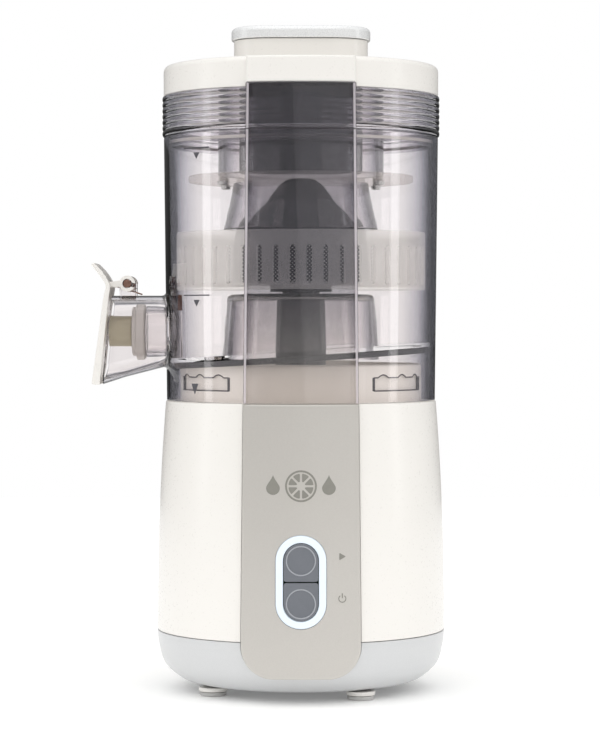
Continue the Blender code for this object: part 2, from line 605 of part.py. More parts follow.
# ---- Drip-stop flap, drawn about its hinge ----
rod("flap_pin", PIN_R, -(BOSS_OUT + 0.6), BOSS_OUT + 0.6, "Y", (-hinge_x, 0, hinge_z), STEEL)
mouth_bottom = spout_reach + SPOUT_MOUTH_H * tan(mouth_lean)
flap_top_in = spout_reach + 1.3 - hinge_x
flap_bottom_in = mouth_bottom + 1.1 - hinge_x
flap_low = -(HINGE_RISE + SPOUT_MOUTH_H)
flap_out = flap_reach - hinge_x
flap_line = [(-flap_top_in - 6.8, 9.9), (-flap_top_in - 8.4, 10.9), (-flap_top_in - 9.6, 10.0),
             (-flap_top_in - 3.0, 1.7), (-flap_top_in - 1.6, -1.8), (-flap_top_in - 3.2, -8.3),
             (-flap_out, flap_low + 0.9), (-flap_out + 0.8, flap_low - 0.3), (-flap_bottom_in, flap_low),
             (-flap_top_in, -8.3), (-flap_top_in + 0.6, -1.8), (-flap_top_in - 0.6, 1.5)]
flap = prism("spout_flap", flap_line, FLAP_W, facing("Y"), IVORY)
flap.location = Vector((-hinge_x, 0, hinge_z)) * MM
for side in (-1, 1):
    arm = [(-flap_top_in - 1.5, -4.6), (-flap_top_in + 0.4, -4.6)]
    arm += [(BOSS_R * cos(a), BOSS_R * sin(a)) for a in [pi * (1.5 + i / 8) for i in range(10)]]
    arm += [(-flap_top_in - 1.5, 1.6)]
    lug = prism("flap_arm_%d" % (side + 2), arm, BOSS_OUT - BOSS_IN,
                facing("Y", (0, side * (BOSS_OUT + BOSS_IN) / 2, 0)))
    lug.location = flap.location
    boolean(flap, lug, "UNION")
boolean(flap, rod("flap_bore", PIN_R + 1.7 * GAP, -30, 30, "Y", (-hinge_x, 0, hinge_z)))

stem_z = nozzle_z - hinge_z
seal_x = -(nozzle_end + GAP)
seal_back = seal_x - SEAL_T - SEAL_TIP_T
plate_x = -(flap_top_in + (flap_bottom_in - flap_top_in) * (-8.3 - stem_z) / (-8.3 - flap_low)) - hinge_x
stopper_stem = rod("stopper_stem", STEM_R, plate_x + GAP + 0.9, seal_back - GAP, "X", (0, 0, 0), KHAKI)
stopper_seal = turned("stopper_seal", [(0, seal_x), (SEAL_R - 1.2, seal_x), (SEAL_R, seal_x - 1.2),
                                       (SEAL_R, seal_x - SEAL_T), (SEAL_TIP_R, seal_x - SEAL_T),
                                       (SEAL_TIP_R, seal_back), (0, seal_back)], SILICONE, HALF)
stopper_seal.rotation_euler = (0, pi / 2, 0)
for ob in (stopper_stem, stopper_seal):
    ob.location = (0, 0, nozzle_z * MM)

# Torsion spring around the pin, its two legs against the spout and towards the flap.
coil = bpy.data.curves.new("flap_spring", "CURVE")
coil.dimensions = "3D"
coil.bevel_depth = SPRING_WIRE_R * MM
coil.bevel_resolution = 1
coil.use_fill_caps = True
coil_w = 2 * (EAR_IN - SPRING_WIRE_R - 2 * GAP)
turns = SPRING_TURNS + 0.75
path = [(SPRING_R + 4.5, -coil_w / 2, -HINGE_RISE + SPRING_WIRE_R + GAP)]
for i in range(int(12 * turns) + 1):
    a = -pi / 2 + 2 * pi * i / 12
    path.append((SPRING_R * cos(a), coil_w * (i / (12 * turns) - 0.5), SPRING_R * sin(a)))
path.append((-SPRING_R - 3.0, coil_w / 2, -SPRING_R * 0.6))
wire = coil.splines.new("POLY")
wire.points.add(len(path) - 1)
for point, (x, y, z) in zip(wire.points, path):
    point.co = ((x - hinge_x) * MM, y * MM, (z + hinge_z) * MM, 1)
coil.materials.append(STEEL)
flap_spring = bpy.data.objects.new("flap_spring", coil)
flap_spring.parent = axis
parts.objects.link(flap_spring)

# ---- Filter basket ----
drum = turned("basket_drum", [(drum_r - 0.6, drum_top), (drum_r, drum_top - 0.6), (drum_r, drum_z),
                              (HUB_R + GAP, drum_z), (HUB_R + GAP, plate_z),
                              (drum_r - DRUM_WALL, plate_z), (drum_r - DRUM_WALL, drum_top)], MILKY, SLOTS)
slot_z, slot_top = plate_z + 0.4, drum_top - SLOT_TOP_RIM
slot_outline = ([(SLOT_W / 2, slot_z)]
                + [(SLOT_W / 2 * cos(a), slot_top - SLOT_W / 2 + SLOT_W / 2 * sin(a))
                   for a in (0, pi / 3, pi * 2 / 3, pi)] + [(-SLOT_W / 2, slot_z)])
slots = bmesh.new()
first_slot = prism("slot", slot_outline, 6, facing("Y", (0, -(drum_r - DRUM_WALL / 2), 0)))
for i in range(SLOTS):
    copy = first_slot.data.copy()
    copy.transform(Matrix.Rotation(2 * pi * (i + 0.5) / SLOTS, 4, "Z"))
    slots.from_mesh(copy)
    bpy.data.meshes.remove(copy)
slots.to_mesh(first_slot.data)
slots.free()
boolean(drum, first_slot)

mesh_r = drum_r - DRUM_WALL - GAP
tube("basket_mesh", mesh_r, mesh_r - MESH_T, plate_z + GAP, drum_top - 2, STEEL)
grater_r = mesh_r - MESH_T - GAP
grater = tube("grater_disc", grater_r, BELL_R + GAP, plate_z + GAP, plate_z + GAP + DISC_T, STEEL)
teeth = bmesh.new()
for across, count in ((0.28, 10), (0.62, 12)):
    ring = BELL_R + across * (grater_r - BELL_R)
    for i in range(count):
        a = 2 * pi * (i + ring / 7) / count
        spot = Matrix.Rotation(a, 4, "Z") @ Matrix.Translation(
            (ring * MM, 0, (plate_z + GAP + DISC_T + 0.2) * MM))
        bmesh.ops.create_cone(teeth, cap_ends=True, segments=4, radius1=1.2 * MM, radius2=0.2 * MM,
                              depth=1.4 * MM, matrix=spot)
tooth_mesh = bpy.data.meshes.new("grater_teeth")
teeth.to_mesh(tooth_mesh)
teeth.free()
boolean(grater, add("grater_teeth", tooth_mesh, None), "UNION")

bell_z = plate_z + GAP
bell_line = [(0, 1.0), (9, 0.98), (14, 0.93), (19, 0.84), (23, 0.76), (29.5, 0.67),
             (34.5, 0.55), (37.0, 0.35), (BELL_R, 0)]
bell = [(r, bell_z + t * BELL_H) for r, t in bell_line]
inner = [(max(r - BELL_WALL, 0), z - BELL_WALL * (0.2 + 0.8 * (1 - r / BELL_R))) for r, z in bell[1:-1]]
turned("basket_cone", bell + [(BELL_R - BELL_WALL, bell_z)] + list(reversed(inner))
       + [(0, bell[0][1] - BELL_WALL)], GRAPHITE, HALF)
hub_z = coupling_z + 3.0
socket_top = coupling_top + GAP
hub = turned("basket_hub", [(0, socket_top + 2.5), (HUB_R - 4, socket_top + 2.5), (HUB_R, socket_top - 1.5),
                            (HUB_R, plate_z + GAP + 1.8), (HUB_R + 8, plate_z + GAP + 1.8),
                            (HUB_R + 8, plate_z + GAP), (HUB_R, plate_z + GAP), (HUB_R, hub_z),
                            (0, hub_z)], GRAPHITE, HALF)
boolean(hub, prism("hub_socket", star(COUPLING_R + GAP, star_depth), 2 * (socket_top - hub_z),
                   facing("Z", (0, 0, hub_z))))

# ---- Lid ----
inner_r = lid_r - RING_WALL
rib_line = []
for i in range(RIBS):
    middle = ring_top - RING_H * (i + 0.5) / RIBS
    rib_line += [(lid_r + RIB_H, middle), (lid_r, middle - 0.4 * RING_H / RIBS)]
spigot_r = bowl_top_r - BOWL_WALL - GAP
seal_z = bowl_top - 2.2
turned("lid_ring", [(lid_r, ring_top)] + rib_line + [
    (lid_r, ring_z), (spigot_r, ring_z), (spigot_r, seal_z), (spigot_r - 1.2, seal_z),
    (spigot_r - 1.2, seal_z - 2.0), (spigot_r, seal_z - 2.0), (spigot_r, bowl_top - SPIGOT_H),
    (spigot_r - 2.6, bowl_top - SPIGOT_H), (spigot_r - 2.6, ring_z + 1.0), (inner_r, ring_z + 2.6),
    (inner_r, ring_top)], SMOKE)
tube("lid_seal", spigot_r - 0.05, spigot_r - 1.2 + GAP, seal_z - 2.0 + GAP / 2, seal_z - GAP / 2, SILICONE)

strip_top = lid_z + 1.6
lid_window = band_blank("lid_window", ring_z, strip_top, 0, 0, DARK_SMOKE)
boolean(lid_window, band_face, "INTERSECT")
boolean(lid_window, disc("strip_back", lid_r + RIB_H + GAP, ring_z - 2, strip_top + 2))

edge_r = 3.0
lid_edge = [(lid_r - edge_r + edge_r * sin(a), lid_top - edge_r + edge_r * cos(a))
            for a in [pi / 2 * i / 4 for i in range(5)]]
lid = turned("lid", [(0, lid_top)] + lid_edge + [(lid_r, lid_z), (lid_r - LID_WALL, lid_z),
                                                (lid_r - LID_WALL, lid_top - edge_r),
                                                (lid_r - edge_r, lid_top - LID_WALL),
                                                (0, lid_top - LID_WALL)], IVORY)
brow = band_blank("lid_brow", strip_top + GAP, lid_top - 1.2)
boolean(brow, band_face, "INTERSECT")
boolean(brow, disc("brow_back", lid_r - 1.0, lid_z - 2, lid_top + 2))
boolean(lid, brow, "UNION")
boolean(lid, prism("neck", racetrack(NECK_W, NECK_D, NECK_CORNER_R), NECK_H + 1,
                   facing("Z", (0, 0, (lid_top + neck_top - 1) / 2))), "UNION")
chute_w, chute_d = NECK_W - 2 * NECK_WALL, NECK_D - 2 * NECK_WALL
chute_corner = NECK_CORNER_R - NECK_WALL
boolean(lid, prism("chute_hole", racetrack(chute_w, chute_d, chute_corner), 60,
                   facing("Z", (0, 0, lid_top))))

tube_top = lid_top - LID_WALL - GAP
tube("feed_tube", TUBE_R, TUBE_R - TUBE_WALL, deflector_top + GAP, tube_top, SMOKE)
skirt_bore = SKIRT_TOP_R - SKIRT_WALL
deflector = tube("deflector_disc", deflector_r, skirt_bore, deflector_z, deflector_top, SILICONE)
turned("feed_skirt", [(SKIRT_TOP_R, deflector_z - GAP), (SKIRT_BOTTOM_R, skirt_z),
                      (SKIRT_BOTTOM_R - SKIRT_WALL, skirt_z), (skirt_bore, deflector_z - GAP)], SMOKE)
for i in range(4):
    a = radians((SCREW_ANGLE, 180 - SCREW_ANGLE, 180 + SCREW_ANGLE, -SCREW_ANGLE)[i])
    x, y = (TUBE_R + SCREW_OUT) * cos(a), (TUBE_R + SCREW_OUT) * sin(a)
    boolean(deflector, rod("screw_hole_%d" % (i + 1), 1.6 + GAP, deflector_z - 5, deflector_top + 5, "Z",
                           (x, y, 0), None, 12))
    turned("deflector_screw_%d" % (i + 1), [(0, deflector_top + 1), (1.6, deflector_top + 1),
                                            (1.6, deflector_z - GAP), (2.9, deflector_z - GAP),
                                            (2.2, deflector_z - 2.4), (0, deflector_z - 2.4)],
           STEEL, 12, (x, y, 0))

# ---- Pusher ----
pusher_w, pusher_d = chute_w - 2 * RUN, chute_d - 2 * RUN
pusher_z = bell_top + 3.0
pusher = prism("pusher_body", racetrack(pusher_w, pusher_d, chute_corner - RUN), cap_z - GAP - pusher_z,
               facing("Z", (0, 0, (cap_z - GAP + pusher_z) / 2)), GRAPHITE)
boolean(pusher, prism("pusher_inside", racetrack(pusher_w - 2 * PUSHER_WALL, pusher_d - 2 * PUSHER_WALL,
                                                 chute_corner - RUN - PUSHER_WALL),
                      cap_z - pusher_z, facing("Z", (0, 0, (cap_z - pusher_z) / 2 + pusher_z + PUSHER_WALL))))
cap = prism("pusher_cap", racetrack(NECK_W + 2 * CAP_OVERHANG, NECK_D + 2 * CAP_OVERHANG,
                                    NECK_CORNER_R + CAP_OVERHANG), CAP_H,
            facing("Z", (0, 0, (cap_z + cap_top) / 2)), SILVER)
soft = cap.modifiers.new("Round", "BEVEL")
soft.width = 2.4 * MM
soft.segments = 3
soft.limit_method = "ANGLE"
soft.angle_limit = radians(50)
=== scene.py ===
# Centrifugal juicer: the fine surfaces and the finishes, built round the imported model.
# Sizes in the values are millimetres from the body's axis; +Z is up, the front faces -Y
# and the spout points to -X.
from math import asin, atan2, cos, pi, radians, sin, sqrt, tan

import bmesh
import bpy
from mathutils import Matrix, Vector


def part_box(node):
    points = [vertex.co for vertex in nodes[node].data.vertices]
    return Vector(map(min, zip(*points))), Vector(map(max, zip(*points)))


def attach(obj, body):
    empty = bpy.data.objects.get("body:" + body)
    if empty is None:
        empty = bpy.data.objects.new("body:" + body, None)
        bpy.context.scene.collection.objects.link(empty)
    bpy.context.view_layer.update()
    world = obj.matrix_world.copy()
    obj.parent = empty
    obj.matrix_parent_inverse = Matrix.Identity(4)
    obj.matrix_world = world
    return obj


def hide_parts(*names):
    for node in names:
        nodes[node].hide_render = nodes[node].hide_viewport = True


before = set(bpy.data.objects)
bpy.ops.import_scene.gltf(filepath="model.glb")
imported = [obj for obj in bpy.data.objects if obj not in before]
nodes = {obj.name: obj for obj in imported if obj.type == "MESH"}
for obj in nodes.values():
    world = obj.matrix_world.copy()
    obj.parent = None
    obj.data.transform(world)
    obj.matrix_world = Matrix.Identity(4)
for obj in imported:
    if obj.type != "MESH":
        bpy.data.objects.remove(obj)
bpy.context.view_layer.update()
mm = 0.001
gap = 0.3  # between pieces that rest on each other
print("frame loaded:", len(nodes), "nodes")


# Places and sizes read from the frame, in millimetres
def span(node):
    low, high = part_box(node)
    return low / mm, high / mm


def lowOf(node):
    return span(node)[0].z


def highOf(node):
    return span(node)[1].z


def radiusOf(node):
    low, high = span(node)
    return (high.y - low.y) / 2


def spotOf(node):  # a node's middle, seen from above
    low, high = span(node)
    return (low.x + high.x) / 2 - axisX, (low.y + high.y) / 2 - axisY


collarBox = span("lock_collar")
axisX, axisY = (collarBox[0].x + collarBox[1].x) / 2, (collarBox[0].y + collarBox[1].y) / 2
toWorld = Matrix.Diagonal((mm, mm, mm, 1)) @ Matrix.Translation((axisX, axisY, 0))
trayLow, trayHigh = lowOf("bottom_tray"), highOf("bottom_tray")
shellLow, deckZ = lowOf("base_shell"), highOf("base_shell")
bowlLow, bowlHigh = lowOf("juice_bowl"), highOf("juice_bowl")
ringLow, ringHigh = bowlHigh + gap, highOf("lid_ring")
lidLow, neckHigh = lowOf("lid"), highOf("lid")
panelLow, frontY = lowOf("front_panel"), span("front_panel")[0].y - axisY
bodyR = span("bottom_tray")[1].x - axisX
collarR, drumR = radiusOf("lock_collar"), radiusOf("basket_drum")
bowlFootR, bowlTopR = bodyR - 5.1, bodyR - 3.5
lidR = bowlTopR + 0.1

# Outlines of the body, as (radius, height) from the foot up
bodyLine = {"taper": 4.6, "power": 2.2,
            "tray": ((20.6, 0), (12.6, 2.2), (3.8, 10.2), (0.6, 21.2), (0, 28.0))}  # inset from the body, height


def smoothLine(points, per=6):  # curve through the points
    points = [Vector(p) for p in points]
    ends = [2 * points[0] - points[1]] + points + [2 * points[-1] - points[-2]]
    made = []
    for a, b, c, d in zip(ends, ends[1:], ends[2:], ends[3:]):
        for i in range(per):
            t = i / per
            made.append(tuple(0.5 * (2 * b + (c - a) * t + (2 * a - 5 * b + 4 * c - d) * t * t
                                     + (3 * b - a - 3 * c + d) * t ** 3)))
    return made + [tuple(points[-1])]


trayCurve = smoothLine([(bodyR - inset, trayLow + up) for inset, up in bodyLine["tray"]], 8)
shellCurve = [(bodyR - bodyLine["taper"] * (i / 24) ** bodyLine["power"], shellLow + (deckZ - shellLow) * i / 24)
              for i in range(25)]


def bodyRadius(z):
    line = trayCurve + shellCurve
    for (r1, z1), (r2, z2) in zip(line, line[1:]):
        if z1 <= z <= z2 and z2 > z1:
            return r1 + (r2 - r1) * (z - z1) / (z2 - z1)
    return line[-1][0] if z > line[-1][1] else line[0][0]


def bowlRadius(z):
    return bowlFootR + (bowlTopR - bowlFootR) * (z - bowlLow) / (bowlHigh - bowlLow)


# Shapes: each is a bmesh in millimetres until it becomes a piece
# Corners of an outline replaced by arcs; a third number in a point is its own radius
def rounded(points, radius=0.4, steps=4, loop=True):
    made = []
    for i, point in enumerate(points):
        here, own = Vector(point[:2]), (point[2] if len(point) > 2 else radius)
        back, on = Vector(points[i - 1][:2]) - here, Vector(points[(i + 1) % len(points)][:2]) - here
        end = not loop and i in (0, len(points) - 1)
        if end or own <= 0 or min(back.length, on.length) < 1e-6 or back.angle(on) > radians(172):
            made.append(tuple(here))
            continue
        half = back.angle(on) / 2
        cut = min(own / tan(half), 0.48 * back.length, 0.48 * on.length)
        middle = here + (back.normalized() + on.normalized()).normalized() * (cut / cos(half))
        start, stop = here + back.normalized() * cut - middle, here + on.normalized() * cut - middle
        turn = atan2(start.x * stop.y - start.y * stop.x, start.dot(stop))
        for k in range(steps + 1):
            made.append(tuple(middle + Matrix.Rotation(turn * k / steps, 2) @ start))
    return made


# Turn (radius, height) points about Z, closed unless both ends lie on the axis
def turned(profile, steps=192, centre=(0, 0)):
    shape = bmesh.new()
    rings = []
    for r, z in profile:
        count = steps if r > 1e-6 else 1
        rings.append([shape.verts.new((centre[0] + r * cos(2 * pi * i / steps),
                                       centre[1] + r * sin(2 * pi * i / steps), z)) for i in range(count)])
    pairs = list(zip(rings, rings[1:]))
    if profile[0][0] > 1e-6 or profile[-1][0] > 1e-6:
        pairs.append((rings[-1], rings[0]))
    for a, b in pairs:
        for i in range(steps):
            j = (i + 1) % steps
            corners = list(dict.fromkeys((a[i % len(a)], a[j % len(a)], b[j % len(b)], b[i % len(b)])))
            if len(corners) > 2:
                shape.faces.new(corners)
    return shape


def lofted(loops, ring=False):  # skin over loops of equal length, capped at its ends or joined into a ring
    shape = bmesh.new()
    rows = [[shape.verts.new(p) for p in loop] for loop in loops]
    pairs = list(zip(rows, rows[1:])) + ([(rows[-1], rows[0])] if ring else [])
    for a, b in pairs:
        for i in range(len(a)):
            j = (i + 1) % len(a)
            shape.faces.new((a[i], a[j], b[j], b[i]))
    if not ring:
        shape.faces.new(rows[0][::-1])
        shape.faces.new(rows[-1])
    return shape


def insetLine(outline, amount):  # a counter-clockwise outline moved inwards
    made = []
    for i, point in enumerate(outline):
        here = Vector(point)
        back, on = here - Vector(outline[i - 1]), Vector(outline[(i + 1) % len(outline)]) - here
        sides = [Vector((-v.y, v.x)).normalized() for v in (back, on)]
        miter = (sides[0] + sides[1]).normalized()
        made.append(tuple(here + miter * amount / max(miter.dot(sides[0]), 0.5)))
    return made


def racetrack(width, height, corner=99.0, centre=(0, 0), steps=14):
    corner = min(corner, width / 2 - 0.01, height / 2 - 0.01)
    points = []
    for quarter, (sx, sy) in enumerate(((1, 1), (-1, 1), (-1, -1), (1, -1))):
        for i in range(steps + 1):
            a = pi / 2 * (quarter + i / steps)
            points.append((centre[0] + sx * (width / 2 - corner) + corner * cos(a),
                           centre[1] + sy * (height / 2 - corner) + corner * sin(a)))
    return points


def circle(radius, centre=(0, 0), steps=48):
    return [(centre[0] + radius * cos(2 * pi * i / steps), centre[1] + radius * sin(2 * pi * i / steps))
            for i in range(steps)]


# An outline given thickness along Z, with its two rims rounded
def slab(outline, low, high, edgeLow=0.4, edgeHigh=0.4, steps=4):
    loops = []
    for side, level, edge in ((0, low, edgeLow), (1, high, edgeHigh)):
        rim = []
        for k in range(steps + 1 if edge else 1):
            a = pi / 2 * k / steps
            rim.append((edge * (1 - sin(a)), level + (edge * (1 - cos(a)) if side == 0 else -edge * (1 - cos(a)))))
        loops += rim if side == 0 else rim[::-1]
    return lofted([[(x, y, z) for x, y in (insetLine(outline, inset) if inset else outline)] for inset, z in loops])


facing = {"Z": Matrix.Identity(4), "Y": Matrix(((1, 0, 0, 0), (0, 0, -1, 0), (0, 1, 0, 0), (0, 0, 0, 1))),
          "X": Matrix(((0, 0, 1, 0), (1, 0, 0, 0), (0, 1, 0, 0), (0, 0, 0, 1)))}


# A shape drawn about Z, faced along an axis, turned and put in its place
def moved(shape, towards="Z", at=(0, 0, 0), turn=None):
    bmesh.ops.transform(shape, matrix=Matrix.Translation(at) @ (turn or Matrix.Identity(4)) @ facing[towards],
                        verts=shape.verts)
    return shape


def joined(*shapes):
    made = bmesh.new()
    for shape in shapes:
        mesh = bpy.data.meshes.new("loose")
        shape.to_mesh(mesh)
        shape.free()
        made.from_mesh(mesh)
        bpy.data.meshes.remove(mesh)
    return made


def carved(shape, tool, how="DIFFERENCE"):  # one Boolean step between two closed shapes
    work = []
    for part in (shape, tool):
        bmesh.ops.recalc_face_normals(part, faces=part.faces)
        mesh = bpy.data.meshes.new("work")
        part.to_mesh(mesh)
        part.free()
        work.append(bpy.data.objects.new("work", mesh))
        bpy.context.scene.collection.objects.link(work[-1])
    step = work[0].modifiers.new("carve", "BOOLEAN")
    step.object, step.operation, step.solver = work[1], how, "EXACT"
    made = bmesh.new()
    made.from_object(work[0], bpy.context.evaluated_depsgraph_get())
    for part in work:
        bpy.data.meshes.remove(part.data)
    return made


def block(low, high):
    shape = bmesh.new()
    low, high = Vector(low), Vector(high)
    bmesh.ops.create_cube(shape, size=1, matrix=Matrix.Translation((low + high) / 2)
                          @ Matrix.Diagonal((*(high - low), 1)))
    return shape


def curvedBlock(inner, outer, columns):  # a patch of a ring: columns of (angle, low, high), between two radii
    shape = bmesh.new()
    rows = [[shape.verts.new((r * cos(a), r * sin(a), z)) for a, low, high in columns for z in (low, high)]
            for r in (inner, outer)]
    ins, outs = rows
    for i in range(0, len(ins) - 2, 2):
        for quad in ((ins[i], ins[i + 1], ins[i + 3], ins[i + 2]), (outs[i], outs[i + 2], outs[i + 3], outs[i + 1]),
                     (ins[i], ins[i + 2], outs[i + 2], outs[i]), (ins[i + 1], outs[i + 1], outs[i + 3], ins[i + 3])):
            shape.faces.new(quad)
    shape.faces.new((ins[0], outs[0], outs[1], ins[1]))
    shape.faces.new((ins[-2], ins[-1], outs[-1], outs[-2]))
    return shape


def swept(path, radius, sides=10):  # a round wire along a path of points
    path = [Vector(p) for p in path]
    loops, side = [], None
    for i, here in enumerate(path):
        on = (path[min(i + 1, len(path) - 1)] - path[max(i - 1, 0)]).normalized()
        side = on.orthogonal().normalized() if side is None else (side - on * side.dot(on)).normalized()
        up = on.cross(side)
        loops.append([here + radius * (cos(2 * pi * k / sides) * side + sin(2 * pi * k / sides) * up)
                      for k in range(sides)])
    return lofted(loops)


# The front band: panel, window strips and the lid's brow lie on one gently curved face
band = {"halfWidth": 31.7, "slope": 0.0095, "curve": 120.0, "lean": 2.0, "panelCorner": 17.0, "columns": 32,
        "rows": 30, "cornerRows": 14, "rimSteps": 5}


def bandHalf(z):
    return band["halfWidth"] - band["slope"] * (z - panelLow)


def faceY(x, z):
    lean = band["lean"] * min(max((z - shellLow) / (deckZ - shellLow), 0), 1)
    return frontY + band["curve"] - sqrt((band["curve"] - lean) ** 2 - x * x)


# Rows of (x, z) over the band between two heights; its lower corners may be rounded
def bandRows(low, high, corner, inset, grow=0.0, ends=1.0):
    low, high, corner = low + inset * ends, high - inset * ends, (corner - inset if corner else 0)
    count = band["cornerRows"]
    levels = [low + corner * (1 - cos(pi / 2 * i / count)) for i in range(count)] if corner else []
    levels += [low + corner + (high - low - corner) * i / band["rows"] for i in range(band["rows"] + 1)]
    rows = []
    for z in levels:
        half = bandHalf(z) + grow - inset
        if z < low + corner:
            half -= corner - sqrt(max(corner ** 2 - (low + corner - z) ** 2, 0))
        rows.append([(half * (2 * i / band["columns"] - 1), z) for i in range(band["columns"] + 1)])
    return rows


# A closed piece of the band from its front face to a back surface, its front rim rounded
def bandSolid(low, high, back, corner=0.0, edge=0.0, grow=0.0, front=faceY, ends=1.0):
    shape = bmesh.new()

    def sheet(inset, surface):
        return [[shape.verts.new((x, surface(x, z), z)) for x, z in row]
                for row in bandRows(low - grow, high + grow, corner + grow if corner else 0, inset, grow, ends)]

    def border(rows):
        return (rows[0] + [row[-1] for row in rows[1:]] + rows[-1][-2::-1] + [row[0] for row in rows[-2:0:-1]])

    face, rear = sheet(edge, front), sheet(0, back)
    rims = [border(face)]
    for k in range(1, band["rimSteps"] + 1 if edge else 1):
        a = pi / 2 * k / band["rimSteps"]
        rows = bandRows(low - grow, high + grow, corner + grow if corner else 0, edge * (1 - sin(a)), grow, ends)
        rims.append([shape.verts.new((x, front(x, z) + edge * (1 - cos(a)), z)) for x, z in border(rows)])
    rims.append(border(rear))
    for rows in (face, rear):
        for a, b in zip(rows, rows[1:]):
            for i in range(len(a) - 1):
                shape.faces.new((a[i], a[i + 1], b[i + 1], b[i]))
    for a, b in zip(rims, rims[1:]):
        for i in range(len(a)):
            j = (i + 1) % len(a)
            shape.faces.new((a[i], a[j], b[j], b[i]))
    return shape


def backAt(radius):  # a round back for a piece of the band, its radius a function of height
    return lambda x, z: -sqrt(radius(z) ** 2 - x * x)


# Materials
def linearColour(code):
    parts = [int(code[i:i + 2], 16) / 255 for i in (1, 3, 5)]
    return (*[c / 12.92 if c <= 0.04045 else ((c + 0.055) / 1.055) ** 2.4 for c in parts], 1)


def addNode(tree, kind, inputs=None, **settings):
    made = tree.nodes.new("ShaderNode" + kind)
    for name, value in settings.items():
        setattr(made, name, value)
    for name, value in (inputs or {}).items():
        if isinstance(value, bpy.types.NodeSocket):
            tree.links.new(value, made.inputs[name])
        else:
            made.inputs[name].default_value = linearColour(value) if isinstance(value, str) else value
    return made


def blended(tree, share, first, second, how="MIX"):
    return addNode(tree, "Mix", {0: share, 6: first, 7: second}, data_type="RGBA", blend_type=how).outputs[2]


def startMaterial(name):
    made = bpy.data.materials.new(name)
    made.use_nodes = True
    made.node_tree.nodes.clear()
    return made, made.node_tree


def speckle(tree, size, detail=2.0, stretch=(1, 1, 1)):  # noise with grains of size millimetres, fixed to the piece
    place = addNode(tree, "TexCoord").outputs["Object"]
    if stretch != (1, 1, 1):
        place = addNode(tree, "Mapping", {"Vector": place, "Scale": stretch}).outputs["Vector"]
    return addNode(tree, "TexNoise", {"Vector": place, "Scale": 1 / (size * mm), "Detail": detail}).outputs["Fac"]


# Solid plastic, rubber, paint or metal: a slight mottle in the colour, grain in gloss and surface
def mouldedFinish(name, look):
    made, tree = startMaterial(name)
    mottle = speckle(tree, look["mottle"], 3.0)
    grain = speckle(tree, look["grain"], 2.0, look.get("stretch", (1, 1, 1)))
    tone = blended(tree, mottle, look["colour"], look["shade"])
    gloss = addNode(tree, "MapRange", {"Value": grain, "From Min": 0.3, "From Max": 0.7,
                                       "To Min": look["rough"][0], "To Max": look["rough"][1]})
    bump = addNode(tree, "Bump", {"Height": grain, "Strength": look["relief"], "Distance": look["depth"] * mm})
    inputs = {"Base Color": tone, "Roughness": gloss.outputs[0], "Normal": bump.outputs[0],
              "Metallic": look.get("metallic", 0.0), "Coat Weight": look.get("coat", 0.0), "Coat Roughness": 0.12,
              "Emission Color": look.get("glow", "#FFFFFF"), "Emission Strength": look.get("glowStrength", 0.0)}
    if look.get("metallic") != 1.0:
        inputs["IOR"] = look["ior"]
    shader = addNode(tree, "BsdfPrincipled", inputs)
    addNode(tree, "OutputMaterial", {"Surface": shader.outputs[0]})
    return made


# Clear plastic: tinted by height, and darkened towards its edges by how it is turned to the eye, a painted shade for
# the dark surroundings seen through the wall; shadows and soft light pass straight through
def clearFinish(name, look):
    made, tree = startMaterial(name)
    slant = addNode(tree, "LayerWeight", {"Blend": 0.5}).outputs["Facing"]
    # The ramp over facing: the plastic's faint smoke face-on, and painted shade darkening it towards the edges
    tintAndEdgeShade = addNode(tree, "ValToRGB", {"Fac": slant})
    stops = tintAndEdgeShade.color_ramp.elements
    for i, (at, colour) in enumerate(look["tintsAndEdgeShade"]):
        stop = stops[i] if i < 2 else stops.new(at)
        stop.position, stop.color = at, linearColour(colour)
    place = addNode(tree, "SeparateXYZ", {"Vector": addNode(tree, "TexCoord").outputs["Object"]})
    height = addNode(tree, "MapRange", {"Value": place.outputs[2], "From Min": look["foot"] * mm,
                                        "From Max": look["full"] * mm}, interpolation_type="SMOOTHSTEP")
    shade = blended(tree, height.outputs[0], look["footTint"], look["fullTint"])
    colour = blended(tree, 1.0, tintAndEdgeShade.outputs[0], shade, "MULTIPLY")
    ripple = speckle(tree, look["ripple"], 1.0)
    gloss = addNode(tree, "MapRange", {"Value": ripple, "To Min": look["rough"][0], "To Max": look["rough"][1]})
    bump = addNode(tree, "Bump", {"Height": ripple, "Strength": look["relief"], "Distance": 0.1 * mm})
    body = addNode(tree, "BsdfPrincipled", {
        "Base Color": colour, "Roughness": gloss.outputs[0], "Normal": bump.outputs[0],
        "Transmission Weight": 1.0, "IOR": look["ior"], "Specular IOR Level": look["mirror"]})
    lamp = addNode(tree, "BsdfTransparent", {"Color": shade})
    path = addNode(tree, "LightPath")
    soft = addNode(tree, "Math", {0: path.outputs["Is Shadow Ray"], 1: path.outputs["Is Diffuse Ray"]},
                   operation="MAXIMUM")
    both = addNode(tree, "MixShader", {0: soft.outputs[0], 1: body.outputs[0], 2: lamp.outputs[0]})
    addNode(tree, "OutputMaterial", {"Surface": both.outputs[0]})
    return made


# Injection-moulded ABS with a fine satin: warm white, soft wide highlights, a trace of orange peel
ivoryAbs = mouldedFinish("mouldedIvoryAbs", {
    "colour": "#F4F1EC", "shade": "#F2EFEA", "mottle": 60, "grain": 1.2, "rough": (0.27, 0.31),
    "relief": 0.01, "depth": 0.01, "ior": 1.54, "coat": 0.15})
# ABS under silver paint: fine metal flake, drawn at 0.5 mm so that it shows, and a soft lacquer gloss
silverAbs = mouldedFinish("silverPaintedAbs", {
    "colour": "#DADBDC", "shade": "#D1D2D3", "mottle": 0.6, "grain": 0.5, "rough": (0.28, 0.4),
    "relief": 0.04, "depth": 0.03, "ior": 1.5, "metallic": 0.25, "coat": 0.25})
